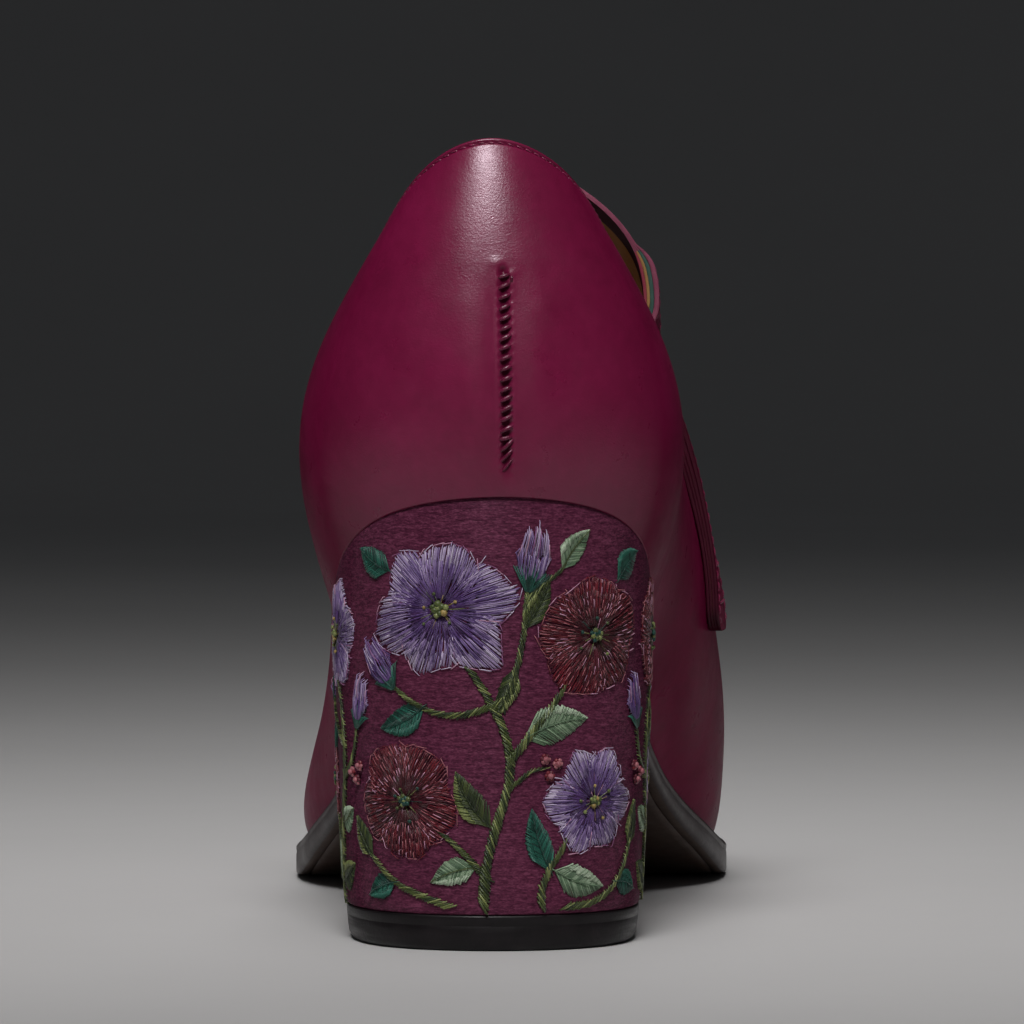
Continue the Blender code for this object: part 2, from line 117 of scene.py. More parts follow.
WALLS = [
    ("back", 5.4, 18.0, 8.0, 19.0, 5.4, 18.0, 8.0, 19.0),
    ("heel corner", 6.4, 18.0, 9.5, 18.0, 6.4, 18.0, 9.8, 18.0),
    ("heel side", 7.6, 18.5, 11.6, 17.0, 7.6, 18.5, 11.8, 17.0),
    ("quarter", 8.3, 19.0, 12.4, 17.0, 8.3, 19.0, 11.8, 17.0),
    ("ankle", 6.4, 19.0, 10.4, 18.0, 9.0, 19.0, 9.6, 18.0),
    ("strap back", 5.0, 19.0, 8.4, 18.0, 11.6, 18.0, 7.0, 18.0),
    ("waist", 4.5, 19.0, 8.0, 17.0, 14.4, 17.0, 8.6, 18.0),
    ("fore waist", 4.6, 18.0, 8.6, 13.0, 11.6, 18.0, 16.2, 14.0),
    ("throat side", 5.6, 15.0, 14.5, 5.0, 9.8, 20.0, 22.8, 3.5),
    ("throat", 8.0, 13.0, 22.0, 0.5, 8.0, 18.0, 27.0, -0.5),
    ("ball", 7.6, 12.0, 22.0, -0.4, 7.6, 15.5, 25.0, -0.4),
    ("vamp", 7.0, 12.0, 20.0, -0.4, 7.0, 14.0, 21.0, -0.4),
    ("toe side", 6.6, 12.5, 17.0, -0.4, 6.6, 13.0, 17.5, -0.4),
    ("toe corner", 6.2, 13.0, 14.0, -0.4, 6.2, 13.0, 14.0, -0.4),
    ("toe tip", 6.0, 13.0, 13.0, -0.4, 6.0, 13.0, 13.0, -0.4),
]
HEEL = [
    (0.0, 47.2, 6.0, 47.0),
    (1.2, 48.6, 5.3, 47.7),
    (HEEL_BASE, 49.6, 4.7, 48.2),
    (10.0, 50.2, 4.4, 48.5),
    (30.0, 52.3, 3.6, 49.8),
    (50.0, 53.4, 3.2, 51.0),
    (80.0, 53.6, 3.0, BREAST_Y),
]
STRAP_ARCH = [
    (-23.6, 88.6, 91.5, 2.0, 3.0),
    (-22.6, 87.6, 99.0, 4.0, 2.6),
    (-20.6, 86.0, 107.0, 12.0, 1.8),
    (-16.2, 84.6, 117.0, 24.0, 0.8),
    (-7.4, 83.4, 126.4, 34.0, 0.2),
    (6.2, 83.0, 131.9, 38.0, 0.0),
    (19.8, 83.8, 127.0, 34.0, 0.0),
    (29.2, 85.2, 117.2, 24.0, 0.0),
    (31.7, 87.0, 107.0, 12.0, 1.0),
    (30.9, 87.6, 103.0, 8.0, 2.0),
    (30.9, 88.1, 99.0, 4.0, 2.8),
    (34.0, 88.8, 91.5, 2.0, 0.0),
]
STRAP_LAT_Z = (82.0, 76.0, 70.0)
STRAP_MED_Z = (82.0, 74.0, 66.0, 57.0, 48.0)
STRAP_RUN = 0.10
BUTTON_Z = 77.5

# Sizes that only the looks need.
EDGE_RIM = 0.5  # height of the turned edge over the wall
EDGE_ROW = 0.5  # collar stitches under the turned edge
EDGE_PITCH = 1.62
SEAM_TOP = 112.0  # the half seam at the back of the counter
SEAM_END = 77.0
SEAM_PITCH = 1.68


# ================================================================ curves
def smooth(t):
    t = np.clip(t, 0.0, 1.0)
    return t * t * (3.0 - 2.0 * t)


def bell(d, w):
    return np.exp(-((d / w) ** 2))


def unit(v):
    v = np.asarray(v, float)
    return v / np.maximum(1e-9, np.linalg.norm(v, axis=-1, keepdims=True))


def along(rows, x, col=1):
    """Monotone cubic through column col of a table whose first column is x."""
    xs = [r[0] for r in rows]
    ys = [r[col] for r in rows]
    if x <= xs[0]:
        return ys[0]
    if x >= xs[-1]:
        return ys[-1]
    h = [b - a for a, b in zip(xs, xs[1:])]
    d = [(b - a) / k for a, b, k in zip(ys, ys[1:], h)]
    m = [d[0]]
    for i in range(1, len(d)):
        if d[i - 1] * d[i] <= 0.0:
            m.append(0.0)
        else:
            w1 = 2.0 * h[i] + h[i - 1]
            w2 = h[i] + 2.0 * h[i - 1]
            m.append((w1 + w2) / (w1 / d[i - 1] + w2 / d[i]))
    m.append(d[-1])
    i = max(k for k in range(len(h)) if xs[k] <= x)
    t = (x - xs[i]) / h[i]
    return (
        (1 + 2 * t) * (1 - t) ** 2 * ys[i]
        + t * (1 - t) ** 2 * h[i] * m[i]
        + t * t * (3 - 2 * t) * ys[i + 1]
        + t * t * (t - 1) * h[i] * m[i + 1]
    )


class Curve:
    """C2 cubic through points at whole-number stations, closed or open."""

    def __init__(self, points, closed):
        self.p = np.array(points, float)
        self.closed = closed
        n = len(self.p)
        a = np.zeros((n, n))
        rhs = np.zeros_like(self.p)
        for i in range(n):
            lo, hi = (i - 1) % n, (i + 1) % n
            if not closed and i == 0:
                a[i, 0], a[i, 1] = 2.0, 1.0
                rhs[i] = 3.0 * (self.p[1] - self.p[0])
            elif not closed and i == n - 1:
                a[i, i], a[i, i - 1] = 2.0, 1.0
                rhs[i] = 3.0 * (self.p[i] - self.p[i - 1])
            else:
                a[i, lo], a[i, i], a[i, hi] = 1.0, 4.0, 1.0
                rhs[i] = 3.0 * (self.p[hi] - self.p[lo])
        self.d = np.linalg.solve(a, rhs)

    def at(self, s, slope=False):
        n = len(self.p)
        i = int(math.floor(s))
        if not self.closed:
            i = min(max(i, 0), n - 2)
        t = s - i
        j = (i + 1) % n
        i = i % n
        p, q, u, v = self.p[i], self.p[j], self.d[i], self.d[j]
        if slope:
            return (6 * t * t - 6 * t) * (p - q) + (3 * t * t - 4 * t + 1) * u + (3 * t * t - 2 * t) * v
        return (1 + 2 * t) * (1 - t) ** 2 * p + t * (1 - t) ** 2 * u + t * t * (3 - 2 * t) * q + t * t * (t - 1) * v


def lengths(points):
    """Distance along a polyline at each of its points."""
    return np.concatenate([[0.0], np.cumsum(np.linalg.norm(np.diff(points, axis=0), axis=1))])


def even(points, step, closed=False):
    """Points at an even step along a polyline, and the direction there."""
    points = np.asarray(points, float)
    if closed:
        points = np.vstack([points, points[:1]])
    l = lengths(points)
    n = max(2, int(round(l[-1] / step)))
    at = np.linspace(0.0, l[-1], n + 1)
    if closed:
        at = at[:-1]
    out = np.stack([np.interp(at, l, points[:, k]) for k in range(points.shape[1])], 1)
    e = 0.25 * step
    ahead = np.stack([np.interp(at + e, l, points[:, k]) for k in range(points.shape[1])], 1)
    back = np.stack([np.interp(at - e, l, points[:, k]) for k in range(points.shape[1])], 1)
    return out, unit(ahead - back)


def around(rows, lat, med):
    out = [[r[c] for c in med] for r in rows]
    out += [[r[c] for c in lat] for r in rows[-2:0:-1]]
    return out


FEATHER_LOOP = Curve(around(FEATHER, (1, 2), (3, 4)), True)
TOP_LOOP = Curve(around(TOPLINE, (1, 2, 3), (4, 5, 6)), True)
WALL_LOOP = Curve(around(WALLS, (1, 2, 3, 4), (5, 6, 7, 8)), True)
RIDGE_LINE = Curve([r[1:] for r in RIDGE], False)


def seat_z(y):
    return along(SEAT, y)


def station(side, r, rows):
    return r if side > 0 else 2 * rows - r


def feather(side, r):
    s = station(side, r, TIP)
    x, y = FEATHER_LOOP.at(s)
    tx, ty = FEATHER_LOOP.at(s, True)
    k = math.hypot(tx, ty)
    return np.array((x, y)), np.array((ty / k, -tx / k))


def row_at(side, y):
    lo, hi = 0.0, float(TIP)
    for _ in range(40):
        mid = 0.5 * (lo + hi)
        if feather(side, mid)[0][1] < y:
            lo = mid
        else:
            hi = mid
    return 0.5 * (lo + hi)


def rib(side, r):
    foot2, n = feather(side, r)
    foot = np.array((foot2[0], foot2[1], seat_z(foot2[1])))
    out, rise, out_top, drop = WALL_LOOP.at(station(side, r, TIP))
    if r < THROAT:
        top = TOP_LOOP.at(station(side, r, THROAT))
    else:
        top = RIDGE_LINE.at(r - THROAT)
    t = RIDGE_LINE.at(max(0.0, r - THROAT), True)
    d = foot2 - top[:2]
    d = d / max(1e-6, math.hypot(d[0], d[1]))
    k = smooth((r - 7.4) / 1.6)
    aim = (1 - k) * np.array((n[0], n[1], 0.0)) + k * np.array((d[0], d[1], d[1] * t[2] / t[1]))
    low = foot + np.array((out * n[0], out * n[1], rise))
    high = top + out_top * aim - np.array((0.0, 0.0, drop))
    return foot, low, high, top


def bezier(b, v):
    w = 1.0 - v
    return w**3 * b[0] + 3 * v * w * w * b[1] + 3 * v * v * w * b[2] + v**3 * b[3]


WALL_KEYS = [(4.5 + 0.1 * i, 0.05 * j) for i in range(31) for j in range(21)]
WALL_POINTS = {(s, r, v): bezier(rib(s, r), v) for s in (1, -1) for r, v in WALL_KEYS}


def on_wall(side, y, z, out):
    best = min(WALL_KEYS, key=lambda k: (WALL_POINTS[side, *k][1] - y) ** 2 + (WALL_POINTS[side, *k][2] - z) ** 2)
    r, v = best
    p = WALL_POINTS[side, r, v]
    e = 0.02
    a = bezier(rib(side, r + e), v) - p
    c = (bezier(rib(side, r), v + e) - p) if v < 0.5 else (p - bezier(rib(side, r), v - e))
    n = np.cross(a, c)
    n = n / np.linalg.norm(n) * (1.0 if n[0] * side > 0 else -1.0)
    q = np.array((p[0] - ((y - p[1]) * n[1] + (z - p[2]) * n[2]) / n[0], y, z))
    return q + out * n


# ================================================================ meshes
def make(name, verts, faces, mats, index=None, node=None, sharp=None):
    """A piece in the row frame from points in the shoe frame, riding on the shoe's one body."""
    me = bpy.data.meshes.new(name)
    co = (np.asarray(verts, float) - MIDDLE) * MM
    me.from_pydata(co.tolist(), [], faces)
    for m in mats:
        me.materials.append(m)
    if index is not None:
        me.polygons.foreach_set("material_index", np.asarray(index, np.int32))
    me.polygons.foreach_set("use_smooth", np.ones(len(me.polygons), bool))
    if sharp is not None:
        me.set_sharp_from_angle(angle=math.radians(sharp))
    me.update()
    ob = bpy.data.objects.new(name, me)
    bpy.context.scene.collection.objects.link(ob)
    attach(ob, "root")
    if node:
        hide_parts(node)
    return ob


def normals_of(verts, faces):
    me = bpy.data.meshes.new("scratch")
    me.from_pydata(np.asarray(verts, float).tolist(), [], faces)
    me.update()
    n = np.zeros(len(verts) * 3, np.float32)
    me.vertex_normals.foreach_get("vector", n)
    bpy.data.meshes.remove(me)
    return n.reshape(-1, 3).astype(float)


class Bundle:
    """Many small closed pieces gathered into one mesh."""

    def __init__(self):
        self.verts, self.faces, self.index, self.count = [], [], [], 0
        self.cache = {}

    def add(self, verts, faces, mat):
        base = self.count
        self.verts.append(np.asarray(verts, float))
        self.faces += [tuple(base + i for i in f) for f in faces]
        self.index += [mat] * len(faces)
        self.count += len(verts)

    def tube(self, path, ups, radius, mat, sides=6, flat=0.85):
        path = np.asarray(path, float)
        k = len(path)
        ups = np.broadcast_to(np.asarray(ups, float), path.shape)
        radius = np.broadcast_to(np.asarray(radius, float), (k,))
        t = unit(np.gradient(path, axis=0))
        b = unit(np.cross(t, ups))
        n = np.cross(b, t)
        a = 2 * math.pi * np.arange(sides) / sides
        ring = path[:, None, :] + radius[:, None, None] * (
            np.cos(a)[None, :, None] * b[:, None, :] + flat * np.sin(a)[None, :, None] * n[:, None, :]
        )
        ends = np.array((path[0] - 0.5 * radius[0] * t[0], path[-1] + 0.5 * radius[-1] * t[-1]))
        if (k, sides) not in self.cache:
            f = []
            for i in range(k - 1):
                for j in range(sides):
                    m = (j + 1) % sides
                    f.append((i * sides + j, (i + 1) * sides + j, (i + 1) * sides + m, i * sides + m))
            c0, c1, last = k * sides, k * sides + 1, (k - 1) * sides
            for j in range(sides):
                m = (j + 1) % sides
                f.append((c0, j, m))
                f.append((c1, last + m, last + j))
            self.cache[k, sides] = f
        self.add(np.vstack([ring.reshape(-1, 3), ends]), self.cache[k, sides], mat)

    def ball(self, centre, up, radius, mat, flat=0.75, wound=0.10):
        """A wound knot: a low ball whose surface turns like thread round a needle."""
        up = unit(up)
        u = unit(np.cross(up, (0.31, 0.22, 0.92)))
        v = np.cross(up, u)
        rows, seg = 5, 9
        verts, faces = [centre + up * radius * flat], []
        for i in range(1, rows):
            th = math.pi * i / rows
            for j in range(seg):
                ph = 2 * math.pi * j / seg
                r = radius * (1.0 + wound * math.cos(3 * ph + 5 * th))
                verts.append(centre + r * (math.sin(th) * (math.cos(ph) * u + math.sin(ph) * v)) + r * flat * math.cos(th) * up)
        verts.append(centre - up * radius * flat)
        end = len(verts) - 1
        for j in range(seg):
            m = (j + 1) % seg
            faces.append((0, 1 + j, 1 + m))
            faces.append((end, end - seg + m, end - seg + j))
            for i in range(rows - 2):
                a, b = 1 + i * seg, 1 + (i + 1) * seg
                faces.append((a + j, b + j, b + m, a + m))
        self.add(verts, faces, mat)

    def object(self, name, mats, slot):
        return make(name, np.vstack(self.verts), self.faces, mats, self.index)


# ================================================================ materials
class Mat:
    def __init__(self, name):
        self.mat = bpy.data.materials.new(name)
        self.mat.use_nodes = True
        self.tree = self.mat.node_tree
        self.bsdf = self.tree.nodes["Principled BSDF"]
        self.coord = self.node("ShaderNodeTexCoord").outputs["Object"]

    def node(self, kind, **props):
        n = self.tree.nodes.new(kind)
        for k, v in props.items():
            setattr(n, k, v)
        return n

    def link(self, out, socket):
        self.tree.links.new(out, socket)

    def set(self, **values):
        names = {
            "rough": "Roughness", "spec": "Specular IOR Level", "coat": "Coat Weight", "coat_rough": "Coat Roughness",
            "sheen": "Sheen Weight", "sheen_rough": "Sheen Roughness", "sheen_tint": "Sheen Tint", "aniso": "Anisotropic",
            "aniso_turn": "Anisotropic Rotation", "spec_tint": "Specular Tint",
        }
        for k, v in values.items():
            s = self.bsdf.inputs[names[k]]
            s.default_value = (*v, 1.0) if isinstance(v, tuple) else v

    def stretched(self, scale):
        m = self.node("ShaderNodeMapping")
        m.inputs["Scale"].default_value = scale
        self.link(self.coord, m.inputs["Vector"])
        return m.outputs["Vector"]

    def noise(self, scale, detail=3.0, rough=0.55, distort=0.0, stretch=None):
        n = self.node("ShaderNodeTexNoise")
        self.link(self.stretched(stretch) if stretch else self.coord, n.inputs["Vector"])
        n.inputs["Scale"].default_value = scale
        n.inputs["Detail"].default_value = detail
        n.inputs["Roughness"].default_value = rough
        n.inputs["Distortion"].default_value = distort
        return n.outputs["Fac"]

    def cells(self, scale, stretch=None, feature="F1"):
        n = self.node("ShaderNodeTexVoronoi", feature=feature)
        self.link(self.stretched(stretch) if stretch else self.coord, n.inputs["Vector"])
        n.inputs["Scale"].default_value = scale
        return n.outputs["Distance"]

    def ramp(self, fac, stops):
        n = self.node("ShaderNodeValToRGB")
        while len(n.color_ramp.elements) < len(stops):
            n.color_ramp.elements.new(0.5)
        for e, (p, c) in zip(n.color_ramp.elements, stops):
            e.position = p
            e.color = (*c, 1.0)
        self.link(fac, n.inputs["Fac"])
        return n.outputs["Color"]

    def span(self, fac, lo, hi, a=0.3, b=0.7, ease="LINEAR"):
        n = self.node("ShaderNodeMapRange", interpolation_type=ease)
        self.link(fac, n.inputs["Value"])
        for k, v in zip(("From Min", "From Max", "To Min", "To Max"), (a, b, lo, hi)):
            n.inputs[k].default_value = v
        return n.outputs["Result"]

    def math(self, op, a, b):
        n = self.node("ShaderNodeMath", operation=op)
        for s, v in zip(n.inputs, (a, b)):
            if isinstance(v, (int, float)):
                s.default_value = v
            else:
                self.link(v, s)
        return n.outputs["Value"]

    def mix(self, fac, a, b, blend="MIX"):
        n = self.node("ShaderNodeMix", data_type="RGBA", blend_type=blend)
        ins = [s for s in n.inputs if s.enabled]
        for s, v in zip(ins, (fac, a, b)):
            if isinstance(v, tuple):
                s.default_value = (*v, 1.0)
            elif isinstance(v, (int, float)):
                s.default_value = v
            else:
                self.link(v, s)
        return [o for o in n.outputs if o.enabled][0]

    def attribute(self, name):
        return self.node("ShaderNodeAttribute", attribute_name=name).outputs["Fac"]

    def bump(self, height, strength, distance):
        n = self.node("ShaderNodeBump")
        n.inputs["Strength"].default_value = strength
        n.inputs["Distance"].default_value = distance
        self.link(height, n.inputs["Height"])
        self.link(n.outputs["Normal"], self.bsdf.inputs["Normal"])

    def gloss(self, spec):
        """Waxed, not lacquered: the gloss falls off where the face turns away."""
        n = self.node("ShaderNodeLayerWeight")
        n.inputs["Blend"].default_value = 0.5
        self.set(spec=spec)
        return self.span(n.outputs["Facing"], spec, 0.01 * spec, 0.12, 0.66, "SMOOTHSTEP")

    def colour(self, out):
        self.link(out, self.bsdf.inputs["Base Color"])

    def rough(self, out):
        self.link(out, self.bsdf.inputs["Roughness"])


def leather(name, dark, mid, light, rough=(0.26, 0.37), grain=0.17, creased=False, spec=0.74, tint=(1.0, 0.89, 0.97)):
    """Smooth dyed calf: cloudy dye, fine grain that runs a little sideways, pores, uneven polish."""
    m = Mat(name)
    cloud = m.noise(38.0, 4.0, 0.6, 0.4)
    fine = m.noise(420.0, 3.0, 0.6)
    tone = m.math("ADD", m.math("MULTIPLY", cloud, 0.72), m.math("MULTIPLY", fine, 0.28))
    dye = m.ramp(tone, [(0.34, dark), (0.52, mid), (0.70, light)])
    if creased:
        # painted shade: where the sewn attribute marks the seam trough and the stitched groove, the dye is mixed toward
        # a darker copy of itself
        dye = m.mix(m.attribute("sewn"), dye, tuple(0.52 * k for k in dark))
    m.colour(dye)
    m.rough(m.span(m.noise(170.0, 4.0, 0.65), *rough))
    lines = m.noise(1.0, 4.0, 0.62, 0.6, (760.0, 760.0, 2100.0))
    pores = m.cells(1900.0, (1.0, 1.0, 1.35))
    height = m.math("ADD", m.math("MULTIPLY", lines, 0.34), m.math("MULTIPLY", pores, 0.34))
    height = m.math("ADD", height, m.math("MULTIPLY", m.noise(1.0, 2.0, 0.6, 0.0, (3600.0, 3600.0, 4800.0)), 0.72))
    if creased:
        folds = m.noise(1.0, 2.0, 0.5, 0.8, (170.0, 170.0, 1500.0))
        height = m.math("ADD", height, m.math("MULTIPLY", m.math("MULTIPLY", folds, m.attribute("crease")), 0.5))
    m.bump(height, grain, 0.00022)
    m.set(spec_tint=tint)
    gloss = m.gloss(spec)
    if creased:
        gloss = m.math("MULTIPLY", gloss, m.span(m.attribute("sewn"), 1.0, 0.12, 0.0, 0.8))
    m.link(gloss, m.bsdf.inputs["Specular IOR Level"])
    return m.mat


def thread(name, low, high, rough=0.42, sheen=0.10, scale=520.0):
    """Twisted stranded thread: the strands catch light unevenly along it."""
    m = Mat(name)
    patch = m.noise(scale, 2.0, 0.5)
    strand = m.noise(3200.0, 2.0, 0.6)
    m.colour(m.ramp(m.math("ADD", m.math("MULTIPLY", patch, 0.7), m.math("MULTIPLY", strand, 0.3)), [(0.33, low), (0.67, high)]))
    m.rough(m.span(strand, rough - 0.10, rough + 0.12))
    m.bump(strand, 0.35, 0.00012)
    m.set(spec=0.45, sheen=sheen, sheen_rough=0.4)
    return m.mat


BURGUNDY = ((0.130, 0.0046, 0.032), (0.166, 0.0060, 0.042), (0.204, 0.0084, 0.054))
leather_upper = leather("leather_burgundy", *BURGUNDY, creased=True)
leather_strap = leather("leather_strap", *BURGUNDY, grain=0.22)
leather_button = leather("leather_button", *[tuple(0.9 * k for k in c) for c in BURGUNDY], rough=(0.20, 0.30), grain=0.16)
PLAIN = (1.0, 1.0, 1.0)
lining = leather("lining_tan", (0.30, 0.135, 0.035), (0.40, 0.19, 0.055), (0.50, 0.26, 0.085), rough=(0.46, 0.60), grain=0.22, spec=0.45, tint=PLAIN)
sock = leather("sock_tan", (0.27, 0.125, 0.035), (0.36, 0.175, 0.055), (0.45, 0.235, 0.080), rough=(0.48, 0.64), grain=0.25, spec=0.45, tint=PLAIN)
edge_pink = leather("edge_pink", (0.175, 0.036, 0.066), (0.25, 0.062, 0.108), (0.35, 0.108, 0.165), rough=(0.50, 0.68), grain=0.3, spec=0.3)
edge_red = leather("edge_red", (0.22, 0.030, 0.050), (0.30, 0.045, 0.072), (0.38, 0.080, 0.105), rough=(0.50, 0.68), grain=0.3, spec=0.3)
edge_teal = leather("edge_teal", (0.030, 0.075, 0.062), (0.052, 0.110, 0.092), (0.12, 0.155, 0.145), rough=(0.50, 0.70), grain=0.3, spec=0.3, tint=PLAIN)
edge_tan = leather("edge_tan", (0.28, 0.145, 0.050), (0.38, 0.21, 0.080), (0.48, 0.29, 0.13), rough=(0.50, 0.70), grain=0.3, spec=0.3, tint=PLAIN)
# painted shade: near-black edge colour for the strap's edges and ends low down, where shade falls
edge_painted_shade = leather("edge_painted_shade", (0.034, 0.0022, 0.0085), (0.047, 0.0030, 0.0120), (0.064, 0.0046, 0.0170), rough=(0.42, 0.58), grain=0.25, spec=0.22)
# painted shade: near-black leather for the strip of the strap's inner face by its rear edge, where shade falls
strap_lining_painted_shade = leather("strap_lining_painted_shade", (0.030, 0.0030, 0.0075), (0.042, 0.0045, 0.0110), (0.056, 0.0070, 0.0160), rough=(0.44, 0.58), grain=0.2, spec=0.25)


def satin():
    """Ribbed silk over the heel: fine weft ribs round the block, short slubs, light that gathers in an upright band."""
    m = Mat("satin_plum")
    ribs = m.noise(1.0, 2.0, 0.6, 0.10, (860.0, 860.0, 3000.0))
    weft = m.noise(1.0, 1.0, 0.5, 0.0, (2300.0, 2300.0, 5200.0))
    slub = m.noise(1.0, 2.0, 0.6, 0.2, (200.0, 200.0, 1900.0))
    cloud = m.noise(45.0, 3.0, 0.6)
    tone = m.math("ADD", m.math("MULTIPLY", ribs, 0.42), m.math("MULTIPLY", weft, 0.26))
    tone = m.math("ADD", tone, m.math("ADD", m.math("MULTIPLY", slub, 0.20), m.math("MULTIPLY", cloud, 0.12)))
    m.colour(m.ramp(tone, [(0.38, (0.040, 0.0070, 0.019)), (0.50, (0.088, 0.0175, 0.042)), (0.62, (0.168, 0.041, 0.084))]))
    m.rough(m.span(ribs, 0.30, 0.46))
    m.bump(m.math("ADD", m.math("MULTIPLY", ribs, 0.7), m.math("ADD", m.math("MULTIPLY", weft, 0.6), m.math("MULTIPLY", slub, 0.2))), 0.55, 0.00020)
    round_z = m.node("ShaderNodeTangent", direction_type="RADIAL", axis="Z")
    m.link(round_z.outputs["Tangent"], m.bsdf.inputs["Tangent"])
    m.link(m.gloss(0.24), m.bsdf.inputs["Specular IOR Level"])
    m.set(spec_tint=(1.0, 0.55, 0.74), aniso=0.6, aniso_turn=0.25)
    return m.mat


def rubber():
    m = Mat("lift_black")
    m.colour(m.ramp(m.noise(240.0, 4.0, 0.65), [(0.35, (0.0045, 0.0034, 0.0040)), (0.60, (0.0085, 0.0064, 0.0074)), (0.78, (0.018, 0.014, 0.0155))]))
    rub = m.noise(1.0, 4.0, 0.65, 0.3, (90.0, 90.0, 900.0))
    m.rough(m.span(rub, 0.30, 0.58))
    m.bump(m.math("ADD", m.noise(1400.0, 3.0, 0.6), m.math("MULTIPLY", rub, 0.8)), 0.22, 0.00020)
    m.set(spec=0.26)
    return m.mat


def sole_leather(name, dark, mid, light, gloss):
    m = Mat(name)
    fibre = m.noise(1.0, 5.0, 0.65, 0.5, (380.0, 160.0, 900.0))
    cloud = m.noise(30.0, 4.0, 0.6, 0.5)
    m.colour(m.ramp(m.math("ADD", m.math("MULTIPLY", fibre, 0.45), m.math("MULTIPLY", cloud, 0.55)), [(0.34, dark), (0.52, mid), (0.70, light)]))
    m.rough(m.span(m.noise(130.0, 4.0, 0.7), *gloss))
    m.bump(m.math("ADD", fibre, m.math("MULTIPLY", m.cells(900.0), 0.4)), 0.22, 0.00022)
    m.set(spec=0.42)
    return m.mat


satin_plum = satin()
lift_black = rubber()
sole_edge = sole_leather("sole_edge", (0.012, 0.006, 0.007), (0.020, 0.010, 0.011), (0.034, 0.018, 0.019), (0.34, 0.50))
sole_under = sole_leather("sole_under", (0.036, 0.021, 0.016), (0.054, 0.032, 0.024), (0.080, 0.050, 0.038), (0.48, 0.68))
stitch_burgundy = thread("stitch_burgundy", (0.110, 0.0065, 0.030), (0.215, 0.0140, 0.065), 0.36, 0.05)
stitch_seam = thread("stitch_seam", (0.080, 0.0055, 0.022), (0.160, 0.0120, 0.050), 0.30, 0.04)
stitch_dark = thread("stitch_dark", (0.040, 0.0035, 0.011), (0.090, 0.0075, 0.027), 0.42, 0.05)

# ================================================================ upper
ROWS = sorted(
    set(np.round(np.arange(0.0, 0.14, 0.01), 4)) | set(np.round(np.arange(0.14, 0.62, 0.02), 4))
    | set(np.round(np.arange(0.62, 9.0, 0.0745), 4)) | {9.0}
    | set(np.round(np.linspace(9.0, 14.0, 62), 4))
)
ROWS = [float(r) for r in ROWS if not (8.97 < r < 9.0)]
RISES = np.concatenate(
    [np.linspace(0.0, 0.66, 116), np.linspace(0.66, 0.90, 24)[1:], np.linspace(0.90, 0.975, 12)[1:], np.linspace(0.975, 1.0, 13)[1:]]
)


def shell(rows, rises):
    """Grid of the wall's outer face: points, faces, columns by side and row, row and rise of each point."""
    verts, faces, cols, tag = [], [], {}, []
    for side in (1, -1):
        for r in rows:
            if side < 0 and r in (0.0, float(TIP)):
                cols[side, r] = cols[1, r]
                continue
            b = rib(side, r)
            col = []
            for j, v in enumerate(rises):
                if side < 0 and j == len(rises) - 1 and r >= THROAT:
                    col.append(cols[1, r][-1])
                    continue
                col.append(len(verts))
                verts.append(bezier(b, v))
                tag.append((side, r, v))
            cols[side, r] = col
    loop = [cols[1, r] for r in rows] + [cols[-1, r] for r in rows[-2::-1]]
    for a, b in zip(loop, loop[1:]):
        for j in range(len(rises) - 1):
            f = (a[j], b[j], b[j + 1], a[j + 1])
            if len(set(f)) > 2:
                faces.append(tuple(dict.fromkeys(f)))
    return np.array(verts), faces, cols, np.array(tag)


def eased(verts, cols, rows, rises):
    """Rounds the vamp: along its rows where the throat begins, and across the ridge."""
    out = verts.copy()
    r = np.array(rows)
    busy = [k for k in range(len(rows)) if 7.6 < rows[k] < 10.6]
    for side in (1, -1):
        for j, v in enumerate(rises[:-1]):
            wide = 0.34 * (1.0 - smooth((v - 0.90) / 0.10)) * smooth(v / 0.2)
            if wide < 0.02:
                continue
            line = np.array([cols[side, q][j] for q in rows])
            for k in busy:
                s = wide * smooth((rows[k] - 7.6) / 1.0) * smooth((10.6 - rows[k]) / 1.0)
                if s > 0.02:
                    w = np.exp(-(((r - r[k]) / s) ** 2)) * np.gradient(r)
                    out[line[k]] = (w[:, None] * verts[line]).sum(0) / w.sum()
    verts, out = out, out.copy()
    for q in rows:
        if THROAT < q < TIP:
            line = np.array(cols[1, q] + cols[-1, q][-2::-1])
            l = lengths(verts[line])
            top = l[len(cols[1, q]) - 1]
            step = np.gradient(l)
            s = 3.2 * smooth((q - THROAT) / 0.5) * smooth((13.3 - q) / 2.0) + 0.01
            for k in np.where(np.abs(l - top) < 9.0)[0]:
                w = np.exp(-(((l - l[k]) / s) ** 2)) * step
                ease = 1.0 - smooth((abs(l[k] - top) - 4.0) / 5.0)
                out[line[k]] += ease * ((w[:, None] * verts[line]).sum(0) / w.sum() - verts[line[k]])
    return out


def rounded_toe(verts, faces, tag):
    """Rounds the top of the toe, where the ribs fan out from the ridge's end: heights follow a quadric fitted around each point."""
    far = np.linalg.norm(verts[:, :2] - np.array((11.3, 203.0)), axis=1)
    top = tag[:, 2] > 0.45
    use = np.where(top & (far < 23.0))[0]
    move = np.where(top & (far < 15.0))[0]
    near = set(use.tolist())
    share = np.zeros(len(verts))
    for f in faces:
        if f[0] in near:
            a, b, c = (verts[i] for i in f[:3])
            size = np.linalg.norm(np.cross(b - a, c - a))
            for i in f:
                share[i] += size
    p, weight = verts[use], share[use]
    out = verts.copy()
    for k in range(0, len(move), 300):
        m = move[k : k + 300]
        dx = p[None, :, 0] - verts[m, 0][:, None]
        dy = p[None, :, 1] - verts[m, 1][:, None]
        w = np.sqrt(weight[None, :] * np.exp(-(dx * dx + dy * dy) / 27.0))
        fit = np.stack([w, w * dx, w * dy, w * dx * dx, w * dx * dy, w * dy * dy], 1)
        height = np.linalg.solve(fit @ fit.transpose(0, 2, 1), fit @ (w * p[None, :, 2])[:, :, None])[:, 0, 0]
        out[m, 2] += (1.0 - smooth((far[m] - 8.0) / 7.0)) * (height - verts[m, 2])
    return out


